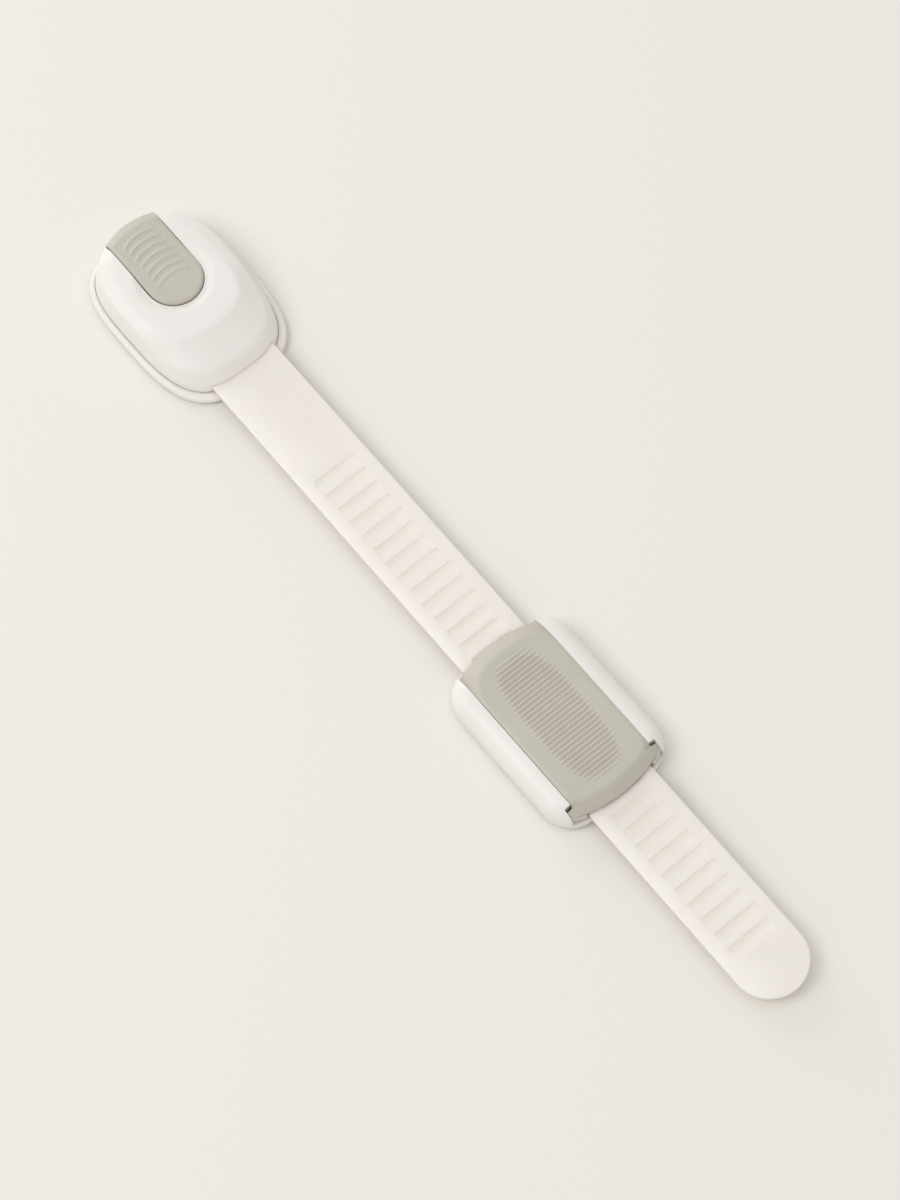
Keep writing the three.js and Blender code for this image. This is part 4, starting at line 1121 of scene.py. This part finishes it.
# %% Foam pads
PAD_TOP, PAD_INSET = 0.8, 1.6
PAD_BULGE = [(0, 0.12), (0.2, 0.02), (0.4, 0), (0.6, 0.02), (PAD_TOP, 0.12)]


def foam_pad(name, outline, body_name, node):
    pad = stack(name, [(z, outline(PAD_INSET + inset)) for z, inset in PAD_BULGE])
    close_up(pad, angle=60)
    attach(pad, body_name)
    dress(pad, foam_tape, "foam_tape", node)


foam_pad("head_pad", base_outline, "head_base", "head_adhesive_pad")
foam_pad("adjuster_pad", rounded_rectangle, "adjuster", "adjuster_adhesive_pad")

# %% [markdown]
# ## Pieces that keep their CAD shape
# The chassis, catch, screws, pawl and pin are plain working pieces inside the housings. Their solids are
# right as they are, so they only get their finishes.

# %% Finishes for the inner pieces
INNER = {
    "head_chassis": inner_plastic,
    "locking_pawl": inner_plastic,
    "catch_spring": steel,
    "chassis_screw_left": steel,
    "chassis_screw_right": steel,
    "adjuster_screw_left": steel,
    "adjuster_screw_right": steel,
    "pawl_pin": steel,
}
for node_name, finish in INNER.items():
    for material_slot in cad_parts[node_name].material_slots:
        material_slot.material = finish
print("inner pieces:", len(INNER))

# %% [markdown]
# ## Floor and light
# The photograph has a plain warm off-white ground with a faint fibre in it. A noise between two close
# colours gives that.

# %% Floor
FLOOR_SIZE, FIBRE_SCALE = 6, 1400

floor = place(bpy.ops.mesh.primitive_plane_add, "floor", size=FLOOR_SIZE, location=(0, 0, 0))
floor_paint = bpy.data.materials.new("pale_ground")
floor_paint.use_nodes = True
floor_tree = floor_paint.node_tree
floor_shader = floor_tree.nodes["Principled BSDF"]
floor_place = floor_tree.nodes.new("ShaderNodeTexCoord")
fibres = noise_node(floor_tree, floor_place.outputs["Object"], scale=FIBRE_SCALE, detail=3)
floor_tone = colour_mix(floor_tree, fibres, linear(243, 242, 237))
floor_tone.inputs["A"].default_value = (*linear(239, 238, 233), 1)
floor_tree.links.new(floor_tone.outputs["Result"], floor_shader.inputs["Base Color"])
floor_shader.inputs["Roughness"].default_value = 0.9
floor_shader.inputs["Specular IOR Level"].default_value = 0.1
floor.data.materials.append(floor_paint)
print("floor:", floor_paint.name)

# %% [markdown]
# The light is soft and a little stronger from the left, so the shadows are faint and fall to the right. The
# world gives most of it. A large lamp from the left gives the shadows their direction, one overhead lights
# the tops, and a low one behind the head makes the slopes that face the strap's tip a little darker than
# the rest. Together they light a level surface so that a colour renders about as it is written.

# %% Lamps and world
LEFT_OF_PICTURE = Vector((-0.635, -0.772, 0))
TOP_OF_PICTURE = Vector((-0.772, 0.635, 0))
FROM_THE_LEFT = (LEFT_OF_PICTURE - 0.3 * TOP_OF_PICTURE).normalized()
BEHIND_THE_HEAD = Vector((-1, 0, 0))
LAMP_DISTANCE = 1.4


def soft_lamp(name, direction, height, size, energy):
    angle = math.radians(height)
    spot = TARGET + LAMP_DISTANCE * (direction * math.cos(angle) + Vector((0, 0, math.sin(angle))))
    bpy.ops.object.select_all(action="DESELECT")
    bpy.ops.object.light_add(type="AREA", location=spot)
    lamp = bpy.context.active_object
    lamp.name = name
    lamp.rotation_euler = (spot - TARGET).to_track_quat("Z", "Y").to_euler()
    lamp.data.shape = "DISK"
    lamp.data.size = size
    lamp.data.energy = energy
    print("lamp:", name, height, "degrees up,", energy, "W")


soft_lamp("key", FROM_THE_LEFT, height=52, size=0.8, energy=5)
soft_lamp("overhead", Vector((0, 0, 0)), height=90, size=1.4, energy=2.2)
soft_lamp("back", BEHIND_THE_HEAD, height=16, size=0.8, energy=4.6)
world = bpy.data.worlds.new("soft_fill")
bpy.context.scene.world = world
world.use_nodes = True
world.node_tree.nodes["Background"].inputs["Color"].default_value = (1.0, 0.97, 0.935, 1)
world.node_tree.nodes["Background"].inputs["Strength"].default_value = 0.62
bpy.context.scene.view_settings.view_transform = "Standard"
